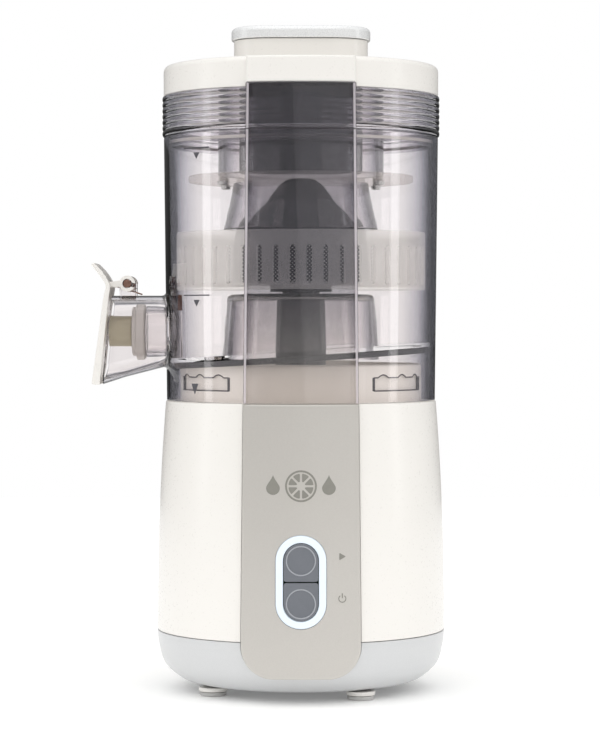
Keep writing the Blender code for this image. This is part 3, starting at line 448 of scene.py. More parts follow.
# The same paint on the cap, made paler as painted light
capPaintPaintedLighter = mouldedFinish("silverPaintPaintedLighter", {
    "colour": "#F2F3F3", "shade": "#ECEDEE", "mottle": 0.6, "grain": 0.5, "rough": (0.24, 0.34),
    "relief": 0.03, "depth": 0.03, "ior": 1.5, "metallic": 0.12, "coat": 0.4})
# Pearl-pigment film under clear lacquer: champagne grey that lightens softly where it turns
pearlFilm = mouldedFinish("pearlLacqueredPanel", {
    "colour": "#D0CCC6", "shade": "#C8C4BE", "mottle": 0.8, "grain": 0.5, "rough": (0.3, 0.4),
    "relief": 0.04, "depth": 0.03, "ior": 1.5, "metallic": 0.35, "coat": 0.5})
# Frosted acrylic light guide: an even cool white glow
lightGuide = mouldedFinish("frostedAcrylicLightGuide", {
    "colour": "#DCE5EC", "shade": "#D5DFE8", "mottle": 6, "grain": 0.6, "rough": (0.35, 0.45),
    "relief": 0.03, "depth": 0.03, "ior": 1.49, "glow": "#E2EEFA", "glowStrength": 0.25})
# Spark-eroded ABS keys: mid grey, an even fine texture of about 0.3 mm
buttonAbs = mouldedFinish("sparkErodedGreyAbs", {
    "colour": "#74777E", "shade": "#6C7077", "mottle": 4, "grain": 0.35, "rough": (0.36, 0.5),
    "relief": 0.12, "depth": 0.05, "ior": 1.54})
# Glass-filled nylon, spark-eroded: near black with a dull sheen
graphiteNylon = mouldedFinish("glassFilledNylon", {
    "colour": "#46474C", "shade": "#3A3B40", "mottle": 9, "grain": 0.6, "rough": (0.38, 0.52),
    "relief": 0.15, "depth": 0.06, "ior": 1.53})
# Thermoplastic rubber: black, dull, a little powdery
blackRubber = mouldedFinish("blackRubber", {
    "colour": "#26262A", "shade": "#1E1E20", "mottle": 5, "grain": 0.7, "rough": (0.7, 0.85),
    "relief": 0.25, "depth": 0.08, "ior": 1.52})
# Grey foot rubber: pale and matt
footRubber = mouldedFinish("paleGreyRubber", {
    "colour": "#C9C8C6", "shade": "#BDBCBA", "mottle": 5, "grain": 0.7, "rough": (0.6, 0.75),
    "relief": 0.2, "depth": 0.06, "ior": 1.5})
# Satin nickel trim ring on each key: pale, soft metal gleam; the pale ring is partly a painted highlight on the dish's
# edge
keyRingHighlightTrim = mouldedFinish("paleTrimPaintedHighlight", {
    "colour": "#B9BCC2", "shade": "#AEB1B7", "mottle": 3, "grain": 0.4, "rough": (0.3, 0.42),
    "relief": 0.05, "depth": 0.02, "ior": 1.5, "metallic": 0.8})
# Phosphor-bronze spring wire: reddish brown with a soft gleam
bronzeWire = mouldedFinish("drawnBronzeWire", {
    "colour": "#9C7A6C", "shade": "#87675A", "mottle": 1.5, "grain": 0.4, "rough": (0.3, 0.45),
    "relief": 0.05, "depth": 0.02, "ior": 1.5, "metallic": 0.7})
# Moulded silicone: mid grey, soft satin
greySilicone = mouldedFinish("greySilicone", {
    "colour": "#C8C3C0", "shade": "#BDB8B5", "mottle": 7, "grain": 0.9, "rough": (0.42, 0.55),
    "relief": 0.08, "depth": 0.05, "ior": 1.41})
# Pigmented silicone tip: reddish brown
brownSilicone = mouldedFinish("brownSilicone", {
    "colour": "#8A6259", "shade": "#7C554D", "mottle": 3, "grain": 0.6, "rough": (0.4, 0.5),
    "relief": 0.08, "depth": 0.05, "ior": 1.41})
# Unpainted POM stem: khaki, matt
khakiPom = mouldedFinish("khakiAcetal", {
    "colour": "#BDB59D", "shade": "#AFA78F", "mottle": 6, "grain": 0.7, "rough": (0.45, 0.6),
    "relief": 0.08, "depth": 0.05, "ior": 1.48})
# Pad-printed ink: flat warm grey
greyInk = mouldedFinish("padPrintedInk", {
    "colour": "#8E8C84", "shade": "#86847D", "mottle": 2, "grain": 0.4, "rough": (0.5, 0.65),
    "relief": 0.05, "depth": 0.02, "ior": 1.5})
# The same ink, darker, for the marks on the bowl, and as painted shade in lines round the latches
darkInkAndShadeLines = mouldedFinish("darkInkAndPaintedShade", {
    "colour": "#55545A", "shade": "#4C4B50", "mottle": 2, "grain": 0.4, "rough": (0.5, 0.65),
    "relief": 0.05, "depth": 0.02, "ior": 1.5})
# Stainless steel brushed round the axis: long fine scratches, drawn 0.4 mm apart
brushedSteel = mouldedFinish("brushedStainless", {
    "colour": "#C9C9C7", "shade": "#BBBBBA", "mottle": 12, "grain": 3, "stretch": (1, 1, 8),
    "rough": (0.22, 0.38), "relief": 0.12, "depth": 0.05, "ior": 1.5, "metallic": 1.0})
# Zinc-plated pressed steel: pale grey spangle a few millimetres wide
zincSteel = mouldedFinish("zincPlatedSteel", {
    "colour": "#B4B7BC", "shade": "#9FA2A8", "mottle": 4, "grain": 2.5, "rough": (0.3, 0.5),
    "relief": 0.08, "depth": 0.05, "ior": 1.5, "metallic": 1.0})
# Steel laminations in black varnish, 0.5 mm sheets seen as fine lines round the stack
laminatedSteel = mouldedFinish("varnishedLaminations", {
    "colour": "#3A3836", "shade": "#2A2928", "mottle": 5, "grain": 4, "stretch": (1, 1, 8),
    "rough": (0.35, 0.55), "relief": 0.3, "depth": 0.15, "ior": 1.5})
# Enamelled copper wire, wound: warm, slightly uneven turns
enamelledCopper = mouldedFinish("enamelledCopper", {
    "colour": "#C07C4A", "shade": "#A4602F", "mottle": 2.5, "grain": 3, "stretch": (5, 5, 1),
    "rough": (0.25, 0.45), "relief": 0.35, "depth": 0.2, "ior": 1.5, "metallic": 1.0})
# Glass-epoxy board: green solder mask over a faint weave
circuitBoard = mouldedFinish("greenSolderMask", {
    "colour": "#2F6B43", "shade": "#265A38", "mottle": 3, "grain": 0.8, "rough": (0.3, 0.45),
    "relief": 0.12, "depth": 0.04, "ior": 1.55})
smoked = {"ripple": 25, "rough": (0.0, 0.03), "relief": 0.02, "ior": 1.57, "mirror": 0.4}
wholeBowl = {"foot": bowlLow, "full": bowlHigh, "footTint": "#FAF8F7", "fullTint": "#FBFAFA"}
# Clear copolyester, lightly smoked: almost colourless face-on, with painted dark blue-grey shade on edge
clearBowl = clearFinish("smokedCopolyester", {
    "tintsAndEdgeShade": ((0.0, "#FCFBFC"), (0.74, "#1E1F25"), (0.34, "#F5F3F4"), (0.5, "#CCCBD2"), (0.62, "#8A8B95")),
    **wholeBowl, **smoked})
# The same plastic, thicker and greyer, for the ribbed ring
clearRing = clearFinish("smokedRingCopolyester", {
    "tintsAndEdgeShade": ((0.0, "#F6F4F6"), (0.8, "#26272D"), (0.4, "#EDECEF"), (0.55, "#C4C3CA"), (0.66, "#85858F")),
    "foot": ringLow, "full": ringHigh, "footTint": "#F6F4F6", "fullTint": "#F0EFF1", **smoked})
# The same plastic round the spout, its painted edge shade starting at a lesser slant, so that its outline is darker
spoutEdgeShadeFinish = clearFinish("smokedSpoutEarlyEdgeShade", {
    "tintsAndEdgeShade": ((0.0, "#FAF9FA"), (0.6, "#1E1F25"), (0.26, "#F3F1F2"), (0.38, "#C6C5CC"), (0.5, "#7C7D87")),
    **wholeBowl, **smoked})
# Dark smoked copolyester of the window strips: polished grey that pales towards the collar
darkWindow = clearFinish("darkSmokedCopolyester", {
    "tintsAndEdgeShade": ((0.0, "#FFFFFF"), (0.9, "#3A3A42"), (0.45, "#F3F1F4"), (0.65, "#A8A7AE")),
    "foot": bowlLow + 4, "full": bowlLow + 72, "footTint": "#F1EFED", "fullTint": "#AFAEB3",
    "ripple": 40, "rough": (0.0, 0.02), "relief": 0.01, "ior": 1.57, "mirror": 0.5})


# Cloudy plastic or rubber: part lit from outside, part glowing through, part see-through; its emission is a painted
# glow, lit or not
def milkyFinish(name, look):
    made, tree = startMaterial(name)
    cloud = speckle(tree, look["cloud"], 3.0)
    tone = blended(tree, cloud, look["colour"], look["shade"])
    bump = addNode(tree, "Bump", {"Height": cloud, "Strength": 0.05, "Distance": 0.1 * mm})
    # Emission Strength is the look's painted glow
    skin = addNode(tree, "BsdfPrincipled", {
        "Base Color": tone, "Roughness": look["rough"], "Normal": bump.outputs[0], "IOR": 1.49,
        "Emission Color": look["colour"], "Emission Strength": look["glow"]})
    glow = addNode(tree, "BsdfTranslucent", {"Color": tone})
    solid = addNode(tree, "MixShader", {0: look["scatter"], 1: skin.outputs[0], 2: glow.outputs[0]})
    through = addNode(tree, "BsdfTransparent", {"Color": look["through"]})
    both = addNode(tree, "MixShader", {0: look["clear"], 1: solid.outputs[0], 2: through.outputs[0]})
    addNode(tree, "OutputMaterial", {"Surface": both.outputs[0]})
    return made


# Unfilled polypropylene: it scatters light and lets some straight through; an even painted glow stands in for light
# passing through it from behind
milkyPp = milkyFinish("milkyPolypropylene", {"colour": "#FAF8F6", "shade": "#F4F2F0", "cloud": 8, "rough": 0.4,
                                             "scatter": 0.5, "clear": 0.6, "through": "#FFFFFE", "glow": 0.35})
# Natural silicone plate: cloudy, half see-through, with a faint painted glow
cloudySilicone = milkyFinish("cloudySilicone", {"colour": "#E8E5E3", "shade": "#DEDBD9", "cloud": 6, "rough": 0.45,
                                                "scatter": 0.4, "clear": 0.74, "through": "#FAF8F7", "glow": 0.1})
# The strips' bevelled edges: a pale line, a painted highlight given a matt, part see-through finish with a faint
# painted glow
bevelHighlightFinish = milkyFinish("paintedBevelHighlight", {"colour": "#E3DCE1", "shade": "#DAD3D8", "cloud": 6, "rough": 0.35,
                                                   "scatter": 0.3, "clear": 0.22, "through": "#E9E5E9", "glow": 0.05})


# Steel sheet with holes in staggered rows round the axis
def perforatedFinish(name, look):
    made, tree = startMaterial(name)
    place = addNode(tree, "TexCoord").outputs["Object"]
    parts = addNode(tree, "SeparateXYZ", {"Vector": place})
    across = addNode(tree, "Math", {0: parts.outputs[0], 1: axisX * mm}, operation="SUBTRACT")
    deep = addNode(tree, "Math", {0: parts.outputs[1], 1: axisY * mm}, operation="SUBTRACT")
    angle = addNode(tree, "Math", {0: deep.outputs[0], 1: across.outputs[0]}, operation="ARCTAN2")
    waves = []
    for source, rate in ((angle.outputs[0], look["holesRound"]), (parts.outputs[2], pi / (look["pitch"] * mm))):
        scaled = addNode(tree, "Math", {0: source, 1: rate}, operation="MULTIPLY")
        waves.append(addNode(tree, "Math", {0: scaled.outputs[0]}, operation="COSINE"))
    net = addNode(tree, "Math", {0: waves[0].outputs[0], 1: waves[1].outputs[0]}, operation="MULTIPLY")
    hole = addNode(tree, "Math", {0: net.outputs[0], 1: look["open"]}, operation="GREATER_THAN")
    grain = speckle(tree, 1.5, 2.0, (1, 1, 6))
    gloss = addNode(tree, "MapRange", {"Value": grain, "To Min": look["rough"][0], "To Max": look["rough"][1]})
    tone = blended(tree, grain, look["colour"], look["shade"])
    steel = addNode(tree, "BsdfPrincipled", {"Base Color": tone, "Metallic": 1.0, "Roughness": gloss.outputs[0]})
    air = addNode(tree, "BsdfTransparent", {"Color": "#FFFFFF"})
    both = addNode(tree, "MixShader", {0: hole.outputs[0], 1: steel.outputs[0], 2: air.outputs[0]})
    addNode(tree, "OutputMaterial", {"Surface": both.outputs[0]})
    return made


# Photo-etched stainless sheet: holes in staggered rows, drawn at 2 mm, four times the real pitch, so that they show
etchedSteel = perforatedFinish("etchedStainlessMesh", {"holesRound": 205, "pitch": 1.0, "open": -0.45,
                                                       "rough": (0.3, 0.45), "colour": "#E2E2E0", "shade": "#D2D2D1"})
print("finishes ready:", len(bpy.data.materials))


# The shape in metres and in place, shaded, riding on its body and standing for its CAD nodes
def makePiece(name, shape, finish, body, replaced=(), sharp=34, edge=None):
    bmesh.ops.recalc_face_normals(shape, faces=shape.faces)
    bmesh.ops.transform(shape, matrix=toWorld, verts=shape.verts)
    mesh = bpy.data.meshes.new(name)
    shape.to_mesh(mesh)
    shape.free()
    mesh.shade_smooth()
    mesh.set_sharp_from_angle(angle=radians(sharp))
    mesh.materials.append(finish)
    if edge:  # a second finish on the faces that its rule picks
        mesh.materials.append(edge[0])
        for face in mesh.polygons:
            face.material_index = int(edge[1](face.center / mm - Vector((axisX, axisY, 0)), face.normal))
    made = bpy.data.objects.new(name, mesh)
    bpy.context.scene.collection.objects.link(made)
    even = made.modifiers.new("evenShading", "WEIGHTED_NORMAL")
    even.keep_sharp = True
    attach(made, body)
    if replaced:
        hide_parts(*replaced)
    return made


# Motor base: tray, shell, panel
baseLook = {"trayWall": 2.6, "shellWall": 3.0, "deck": 3.0, "seamRound": 0.5, "deckRound": 0.8, "recess": 1.6,
            "towerBore": 8.0, "trayInside": ((23.6, 2.6), (15.2, 4.8), (6.4, 10.2), (3.2, 21.2))}  # inset, height
trayShape = [(bodyR, trayHigh, baseLook["seamRound"])] + [(r, z, 0) for r, z in reversed(trayCurve[:-1])]
trayShape += [(0, trayLow, 0), (0, trayLow + baseLook["trayWall"], 0)]
trayShape += [(bodyR - inset, trayLow + up, 0) for inset, up in baseLook["trayInside"]]
trayShape += [(bodyR - baseLook["trayWall"], trayHigh, 0.4)]
tray = turned(rounded(trayShape), 256)
wall, neckR = baseLook["shellWall"], bodyR - bodyLine["taper"]
shellShape = ([(baseLook["towerBore"], deckZ, 0), (neckR, deckZ, baseLook["deckRound"])]
              + [(r, z, 0) for r, z in reversed(shellCurve[1:-1])]
              + [(bodyR, shellLow, baseLook["seamRound"]), (bodyR - wall, shellLow, 0.3)]
              + [(r - wall, z, 0) for r, z in shellCurve[1:-2]]
              + [(neckR - wall, deckZ - baseLook["deck"], 0), (baseLook["towerBore"], deckZ - baseLook["deck"], 0)])
shell = turned(rounded(shellShape), 256)


def recessRadius(z):
    return bodyRadius(min(z, deckZ - 0.01)) - baseLook["recess"]


def frontRecess():  # the pocket for the panel
    return bandSolid(panelLow, deckZ + 6, backAt(recessRadius), band["panelCorner"], 0, gap, lambda x, z: -100)


tray, shell = carved(tray, frontRecess()), carved(shell, frontRecess())
key = {"width": 26.5, "height": 48.9, "rim": 3.9, "up": 50.9, "gap": 0.6, "thick": 2.3, "dish": 7.6,
       "dishDepth": 0.6, "dishOffset": 1.0, "ringRound": 0.8, "ringCut": 0.23}
keyZ = panelLow + key["up"]
wellW, wellH = key["width"] - 2 * key["rim"], key["height"] - 2 * key["rim"]
shell = carved(shell, moved(slab(racetrack(wellW, wellH, 99, (0, keyZ)), -10, 10, 0, 0), "Y", (0, -(bodyR - 3), 0)))
gland = {"up": 18.9, "hole": 6.8, "bore": 3.2}
glandHole = slab(circle(gland["hole"], (0, shellLow + gland["up"])), -20, 20, 0, 0)
shell = carved(shell, moved(glandHole, "Y", (0, bodyR, 0)))
makePiece("baseTray", tray, silverAbs, "base", ["bottom_tray"])
makePiece("baseShell", shell, ivoryAbs, "base", ["base_shell"])
panel = bandSolid(panelLow, deckZ, backAt(lambda z: recessRadius(z) + gap), band["panelCorner"], 0.9)
panel = carved(panel, moved(slab(racetrack(key["width"] + 0.5, key["height"] + 0.5, 99, (0, keyZ)), -20, 20, 0, 0),
                            "Y", (0, -bodyR, 0)))
makePiece("frontPanel", panel, pearlFilm, "base", ["front_panel"])

# Light ring round the keys
bezelBack = -(bodyR - baseLook["recess"] + gap)
rimLine = [(0, bezelBack), (0, frontY + key["ringRound"]), (key["ringCut"], frontY + key["ringCut"]),
           (key["ringRound"], frontY)]
rimLine += [(1.6, frontY)] + [(key["rim"] - inset, y) for inset, y in reversed(rimLine)]
rim = [[(x, y, z) for x, z in racetrack(key["width"] - 2 * inset, key["height"] - 2 * inset, 99, (0, keyZ), 20)]
       for inset, y in rimLine]
makePiece("lightRing", lofted(rim, True), lightGuide, "base", ["button_bezel"])

# The two keys, halves of one racetrack
faceOfKeys = frontY + gap
stemEnd = -(bodyR - wall - baseLook["recess"] - 3.0)
for name, node, side, body in (("startKey", "start_button", 1, "start_key"),
                               ("powerKey", "power_button", -1, "power_key")):
    half, tall = wellW / 2 - gap, (wellH - 2 * gap - key["gap"]) / 2
    outline = [(-half, 0, 1.4), (half, 0, 1.4)]
    outline += [(half * cos(pi * i / 24), tall - half + half * sin(pi * i / 24), 0) for i in range(25)]
    outline = [(side * x, keyZ + side * (key["gap"] / 2 + z)) for x, z in rounded(outline)]
    cap = moved(slab(outline, -faceOfKeys - key["thick"], -faceOfKeys, 0, 0.35), "Y")
    middle = keyZ + side * (wellH / 4 + key["dishOffset"])
    r, d = key["dish"], key["dishDepth"]
    dish = turned([(0, 3), (r + 0.3, 3), (r + 0.3, 0.02), (r - 0.1, -0.1), (r - 0.5, -0.4 * d), (r * 0.7, -0.75 * d),
                   (r * 0.35, -0.93 * d), (0, -d)], 96)
    cap = carved(cap, moved(dish, "Y", (0, faceOfKeys, middle)))
    stem = moved(turned([(0, -1.4), (2, -1.4), (2, faceOfKeys - stemEnd), (0, faceOfKeys - stemEnd)], 32), "Y",
                 (0, faceOfKeys, middle))
    cap = carved(cap, stem, "UNION")
    ring = moved(turned(rounded([(r + 0.3, 0.16), (r - 0.4, 0.16), (r - 0.4, -0.3), (r + 0.3, -0.3)], 0.1), 96),
                 "Y", (0, faceOfKeys, middle))
    makePiece(name, cap, buttonAbs, body, [node])
    makePiece(name + "Ring", ring, keyRingHighlightTrim, body)

# Feet and their pads, the cord's inlet
for i in range(4):
    low, high = span("foot_%d" % (i + 1))
    spot, r = spotOf("foot_%d" % (i + 1)), (high.x - low.x) / 2
    foot = turned(rounded([(0, high.z, 0), (r, high.z, 0.3), (r, low.z, 0.5), (0, low.z, 0)]), 64, spot)
    makePiece("foot%d" % (i + 1), foot, ivoryAbs, "base", ["foot_%d" % (i + 1)])
    low, high = span("foot_pad_%d" % (i + 1))
    r = (high.x - low.x) / 2
    pad = turned(rounded([(0, high.z, 0), (r, high.z, 0.2), (r, low.z, 0.5), (r - 2.2, low.z, 0.3),
                          (r - 2.6, low.z + 0.4, 0.2), (0, low.z + 0.4, 0)]), 64, spot)
    makePiece("footPad%d" % (i + 1), pad, footRubber, "base", ["foot_pad_%d" % (i + 1)])
inlet = gland["hole"] - gap
glandShape = turned(rounded([(inlet, 5.6, 0.5), (inlet, 2.3, 0), (inlet + 2.8, 2.3, 0.4), (inlet + 2.8, 0, 0.3),
                             (gland["bore"], 0, 0.3), (gland["bore"], 5.6, 0.8)]), 64)
makePiece("cordGland", moved(glandShape, "Z", (0, bodyR - wall - 3.4, shellLow + gland["up"]),
                             Matrix.Rotation(-pi / 2, 4, "X")), blackRubber, "base", ["cord_gland"])
print("motor base built")


# Printed marks on the panel: a citrus slice between two drops, and a symbol beside each key
def printed(name, outlines, finish=greyInk, thick=0.1):
    shapes = []
    for outline in outlines:
        loops = [[(x, faceY(x, z) + y, z) for x, z in outline] for y in (0.3, -thick)]
        shapes.append(lofted(loops))
    return makePiece(name, joined(*shapes), finish, "base")


def drop(x, z, r):  # a plain water drop, point up
    return [(x + r * sin(2 * pi * i / 36) * (1 - max(-cos(2 * pi * i / 36), 0) ** 2 * 0.95),
             z - r * cos(2 * pi * i / 36) + (r * 0.9 * max(-cos(2 * pi * i / 36), 0) ** 2)) for i in range(36)]


def ringPieces(x, z, outer, inner, count, first=0.0, last=2 * pi):
    made = []
    for i in range(count):
        a, b = first + (last - first) * i / count, first + (last - first) * (i + 1) / count
        steps = [a + (b - a) * k / 6 for k in range(7)]
        made.append([(x + outer * cos(t), z + outer * sin(t)) for t in steps]
                    + [(x + inner * cos(t), z + inner * sin(t)) for t in reversed(steps)])
    return made


emblem = {"z": 115.4, "slice": 8.3, "rind": 1.0, "segments": 8, "dropX": 14.6, "dropR": 3.6}
marks = ringPieces(0, emblem["z"], emblem["slice"], emblem["slice"] - emblem["rind"], 12)
for i in range(emblem["segments"]):
    a = 2 * pi * (i + 0.5) / emblem["segments"]
    wedge = [(1.5, 0.0), (6.3, -2.05), (6.6, 0), (6.3, 2.05)]
    wedge = rounded([(x, y, 0.5) for x, y in wedge], 0.5)
    marks.append([(x * cos(a) - y * sin(a), emblem["z"] + x * sin(a) + y * cos(a)) for x, y in wedge])
marks += [drop(side * emblem["dropX"], emblem["z"] - 1.0, emblem["dropR"]) for side in (-1, 1)]
printed("citrusEmblem", marks)
symbolX = 21.6
printed("startSymbol", [rounded([(symbolX - 1.6, 80.6, 0.3), (symbolX - 1.6, 76.6, 0.3), (symbolX + 1.9, 78.6, 0.3)])])
power = ringPieces(symbolX, 56.6, 2.1, 1.6, 8, radians(125), radians(415))
power.append([(symbolX - 0.28, 56.9), (symbolX + 0.28, 56.9), (symbolX + 0.28, 59.4), (symbolX - 0.28, 59.4)])
printed("powerSymbol", power)

# Locking collar with its four bayonet windows
collarLook = {"wall": 3.5, "windowW": 39.0, "windowH": 7.0, "bump": 1.5, "up": 9.6, "depth": 1.2}
collarTop = highOf("lock_collar")
collar = turned(rounded([(collarR, collarTop, 1.5), (collarR, bowlLow, 0.3), (collarR - collarLook["wall"], bowlLow, 0),
                         (collarR - collarLook["wall"], collarTop, 0.6)]), 256)
outlines = []
for middle in (-144, -36, 36, 144):
    columns = []
    for i in range(61):
        t = i / 60 * 2 - 1
        wave = max(0.0, cos(3 * pi * t)) if abs(t) < 0.85 else 0.0
        low = bowlLow + collarLook["up"] - collarLook["windowH"] / 2
        columns.append((radians(middle + t * collarLook["windowW"] / 2), low,
                        low + collarLook["windowH"] + collarLook["bump"] * wave))
    collar = carved(collar, curvedBlock(collarR - collarLook["depth"], collarR + 4, columns))
    floorR = collarR - collarLook["depth"] + 0.2
    line = [(a, low) for a, low, high in columns] + [(a, high) for a, low, high in reversed(columns)]
    # A dark wire along each window's outline and two bars at its ends: painted shade where the pocket's edge is shaded
    wire = swept([((collarR - 0.1) * cos(a), (collarR - 0.1) * sin(a), z) for a, z in line[1:-1]], 0.36, 8)
    shadeBars = [curvedBlock(floorR - 0.4, collarR - 0.2, [(columns[i][0] + t, columns[i][1] - 0.2, columns[i][2] + 1.2)
                                                     for t in (0, 0.014, 0.028)]) for i in (0, 58)]
    outlines.append(joined(wire, *shadeBars))
makePiece("lockCollar", collar, ivoryAbs, "base", ["lock_collar"])
makePiece("latchPaintedShadeLines", joined(*outlines), darkInkAndShadeLines, "base")

# Drive spindle: its tower, the seal stays as it is, and the star coupling
towerTop, towerR = highOf("spindle_tower"), 15.5
tower = turned(rounded([(towerR, towerTop, 1.6), (towerR + 1.5, bowlLow + 4, 2.5), (towerR + 9, bowlLow + 3, 1.0),
                        (towerR + 9, bowlLow, 0.2), (baseLook["towerBore"], bowlLow, 0),
                        (baseLook["towerBore"], towerTop, 0.5)]), 128)
makePiece("spindleTower", tower, graphiteNylon, "base", ["spindle_tower"])


def star(radius, depth, teeth=6):
    return [(r * cos(a), r * sin(a)) for i in range(teeth * 16) for a in [2 * pi * i / (teeth * 16)]
            for r in [radius - depth / 2 + depth / 2 * cos(teeth * a)]]


couplingLow, couplingHigh = lowOf("drive_coupling"), highOf("drive_coupling")
splines = {"radius": 12, "depth": 2.3}
coupling = carved(slab(star(splines["radius"], splines["depth"]), couplingLow, couplingHigh, 0.3, 1.0),
                  slab(circle(4.3), couplingLow - 2, couplingHigh - 3.7, 0, 0))
makePiece("driveCoupling", coupling, graphiteNylon, "motor_rotor", ["drive_coupling"])
print("collar, spindle and marks built")

# Juice bowl: wall, tilted floor, chimney round the spindle, spout, hinge ears, post
bowlLook = {"wall": 2.4, "floor": 2.4, "tilt": 3.7, "chimney": 42.9, "chimneyTop": 40.2, "chimneyWall": 2.2,
            "rim": 0.7, "foot": 0.5, "spindleHole": 16}
spoutLook = {"wall": 2.2, "corner": 9.0, "width": 40.0, "rootH": 38.5, "mouthH": 48.4, "lean": 6.1, "root": 2.6,
             "nozzle": 14.0, "bore": 12.0, "reach": 11.2, "drop": 19.4}
spoutTop, spoutReach, floorZ = bowlLow + 57.0, bowlFootR + 29.4, bowlLow + 27.4
chimneyTop = towerTop + 2.5
slope = tan(radians(bowlLook["tilt"]))
tilt = Matrix.Rotation(-radians(bowlLook["tilt"]), 4, "Y")
inR = bowlRadius(floorZ) - bowlLook["wall"]
wall, rim, foot = bowlLook["wall"], bowlLook["rim"], bowlLook["foot"]
bowl = turned(rounded([(bowlTopR, bowlHigh, rim), (bowlFootR, bowlLow, foot), (bowlFootR - wall, bowlLow, foot),
                       (bowlTopR - wall, bowlHigh, rim)]), 256)
floorPlate = turned([(0, 0), (inR + 1, 0), (inR + 1, -bowlLook["floor"]), (0, -bowlLook["floor"])], 256)
bowl = carved(bowl, moved(floorPlate, "Z", (0, 0, floorZ), tilt), "UNION")
chimneyFoot = floorZ - bowlLook["chimney"] * slope - bowlLook["floor"]
for thin, foot, corner, how in ((0, chimneyFoot, 3.0, "UNION"),
                                (bowlLook["chimneyWall"], chimneyFoot - 2, 2.0, "DIFFERENCE")):
    chimney = rounded([(0, chimneyTop - thin, 0), (bowlLook["chimneyTop"] - thin, chimneyTop - thin, corner),
                       (bowlLook["chimney"] - thin, foot, 0), (0, foot, 0)], steps=8)
    bowl = carved(bowl, turned(chimney, 192), how)
hole = bowlLook["spindleHole"]
bowl = carved(bowl, turned([(0, chimneyTop + 9), (hole, chimneyTop + 9), (hole, chimneyTop - 9), (0, chimneyTop - 9)],
                           96))


# One ring of the spout: out from the bowl's wall by reach, or on the leaning mouth plane
def spoutLoop(inset, reach, flare=0.0, atMouth=None):
    width, tall, corner = (spoutLook["width"] - 2 * inset, spoutLook["rootH"] - 2 * inset, spoutLook["corner"] - inset)
    ring = []
    for y, up in racetrack(width + 2 * flare, tall + 2 * flare, corner + flare, (0, -tall / 2), 10):
        z = spoutTop - inset + up
        far = (sqrt(bowlRadius(z) ** 2 - y * y) + reach) if atMouth is None else spoutReach + atMouth
        fall = (spoutLook["mouthH"] - spoutLook["rootH"]) / (spoutReach - bowlFootR) / tall
        z = spoutTop - inset + up * (1 + fall * max(far - bowlFootR, 0))
        if atMouth is not None:
            far += (spoutTop - z) * tan(radians(spoutLook["lean"]))
        ring.append((-far, y, z))
    return ring


root = spoutLook["root"]
loops = [spoutLoop(0, -2.0, root)] + [spoutLoop(0, root * (1 - cos(a)), root * (1 - sin(a)))
                                      for a in [pi / 2 * k / 6 for k in range(7)]]
loops += [spoutLoop(0, 0, 0, -12), spoutLoop(0, 0, 0, -0.5), spoutLoop(0.15, 0, 0, -0.15), spoutLoop(0.5, 0, 0, 0)]
bowl = carved(bowl, lofted(loops), "UNION")
wall = spoutLook["wall"]
bowl = carved(bowl, lofted([spoutLoop(wall, 0.6), spoutLoop(wall, 6), spoutLoop(wall, 0, 0, -0.5),
                            spoutLoop(wall - 0.5, 0, 0, 0.01), spoutLoop(wall - 0.5, 0, 0, 6)]))
nozzleZ, nozzleEnd = spoutTop - spoutLook["drop"], bowlFootR + spoutLook["reach"]
nozzleR = spoutLook["nozzle"]
nozzle = turned(rounded([(0, -nozzleEnd, 0), (nozzleR, -nozzleEnd, 0.6), (nozzleR, -bowlFootR + 1, 0),
                         (0, -bowlFootR + 1, 0)]), 96)
bowl = carved(bowl, moved(nozzle, "X", (0, 0, nozzleZ)), "UNION")
bore = turned([(0, -nozzleEnd - 2), (spoutLook["bore"], -nozzleEnd - 2), (spoutLook["bore"], -bowlFootR + 12),
               (0, -bowlFootR + 12)], 96)
bowl = carved(bowl, moved(bore, "X", (0, 0, nozzleZ)))
hinge = {"x": -(spoutReach - 8.3), "z": spoutTop + 6.6, "boss": 4.4, "pin": 2.1, "earIn": 5.2, "earOut": 9.0,
         "armIn": 9.4, "armOut": 13.8}
for side in (-1, 1):
    boss = hinge["boss"]
    ear = [(hinge["x"] + boss, spoutTop - 1.0)]
    ear += [(hinge["x"] + boss * cos(pi * i / 20), hinge["z"] + boss * sin(pi * i / 20)) for i in range(21)]
    ear += [(hinge["x"] - boss, spoutTop - 1.0)]
    ends = sorted((-side * hinge["earIn"], -side * hinge["earOut"]))
    bowl = carved(bowl, moved(slab(ear, *ends, 0.3, 0.3), "Y"), "UNION")
bowl = carved(bowl, moved(slab(circle(hinge["pin"] + gap, (hinge["x"], hinge["z"]), 32), -15, 15, 0, 0), "Y"))
post = {"x": -(drumR - 0.6), "y": 14.0, "r": 1.8}
postTip = span("post_tip")
postFoot = floorZ + post["x"] * slope - 1.2
postTop = postTip[0].z - gap
bowl = carved(bowl, turned([(0, postTop), (post["r"], postTop), (post["r"], postFoot), (0, postFoot)], 32,
                           (post["x"], post["y"])), "UNION")


def onSpout(spot, normal):  # the spout's walls, but not its nozzle
    return spot.x < -bowlFootR - 3 and sqrt(spot.y ** 2 + (spot.z - nozzleZ) ** 2) > spoutLook["nozzle"] + 0.3


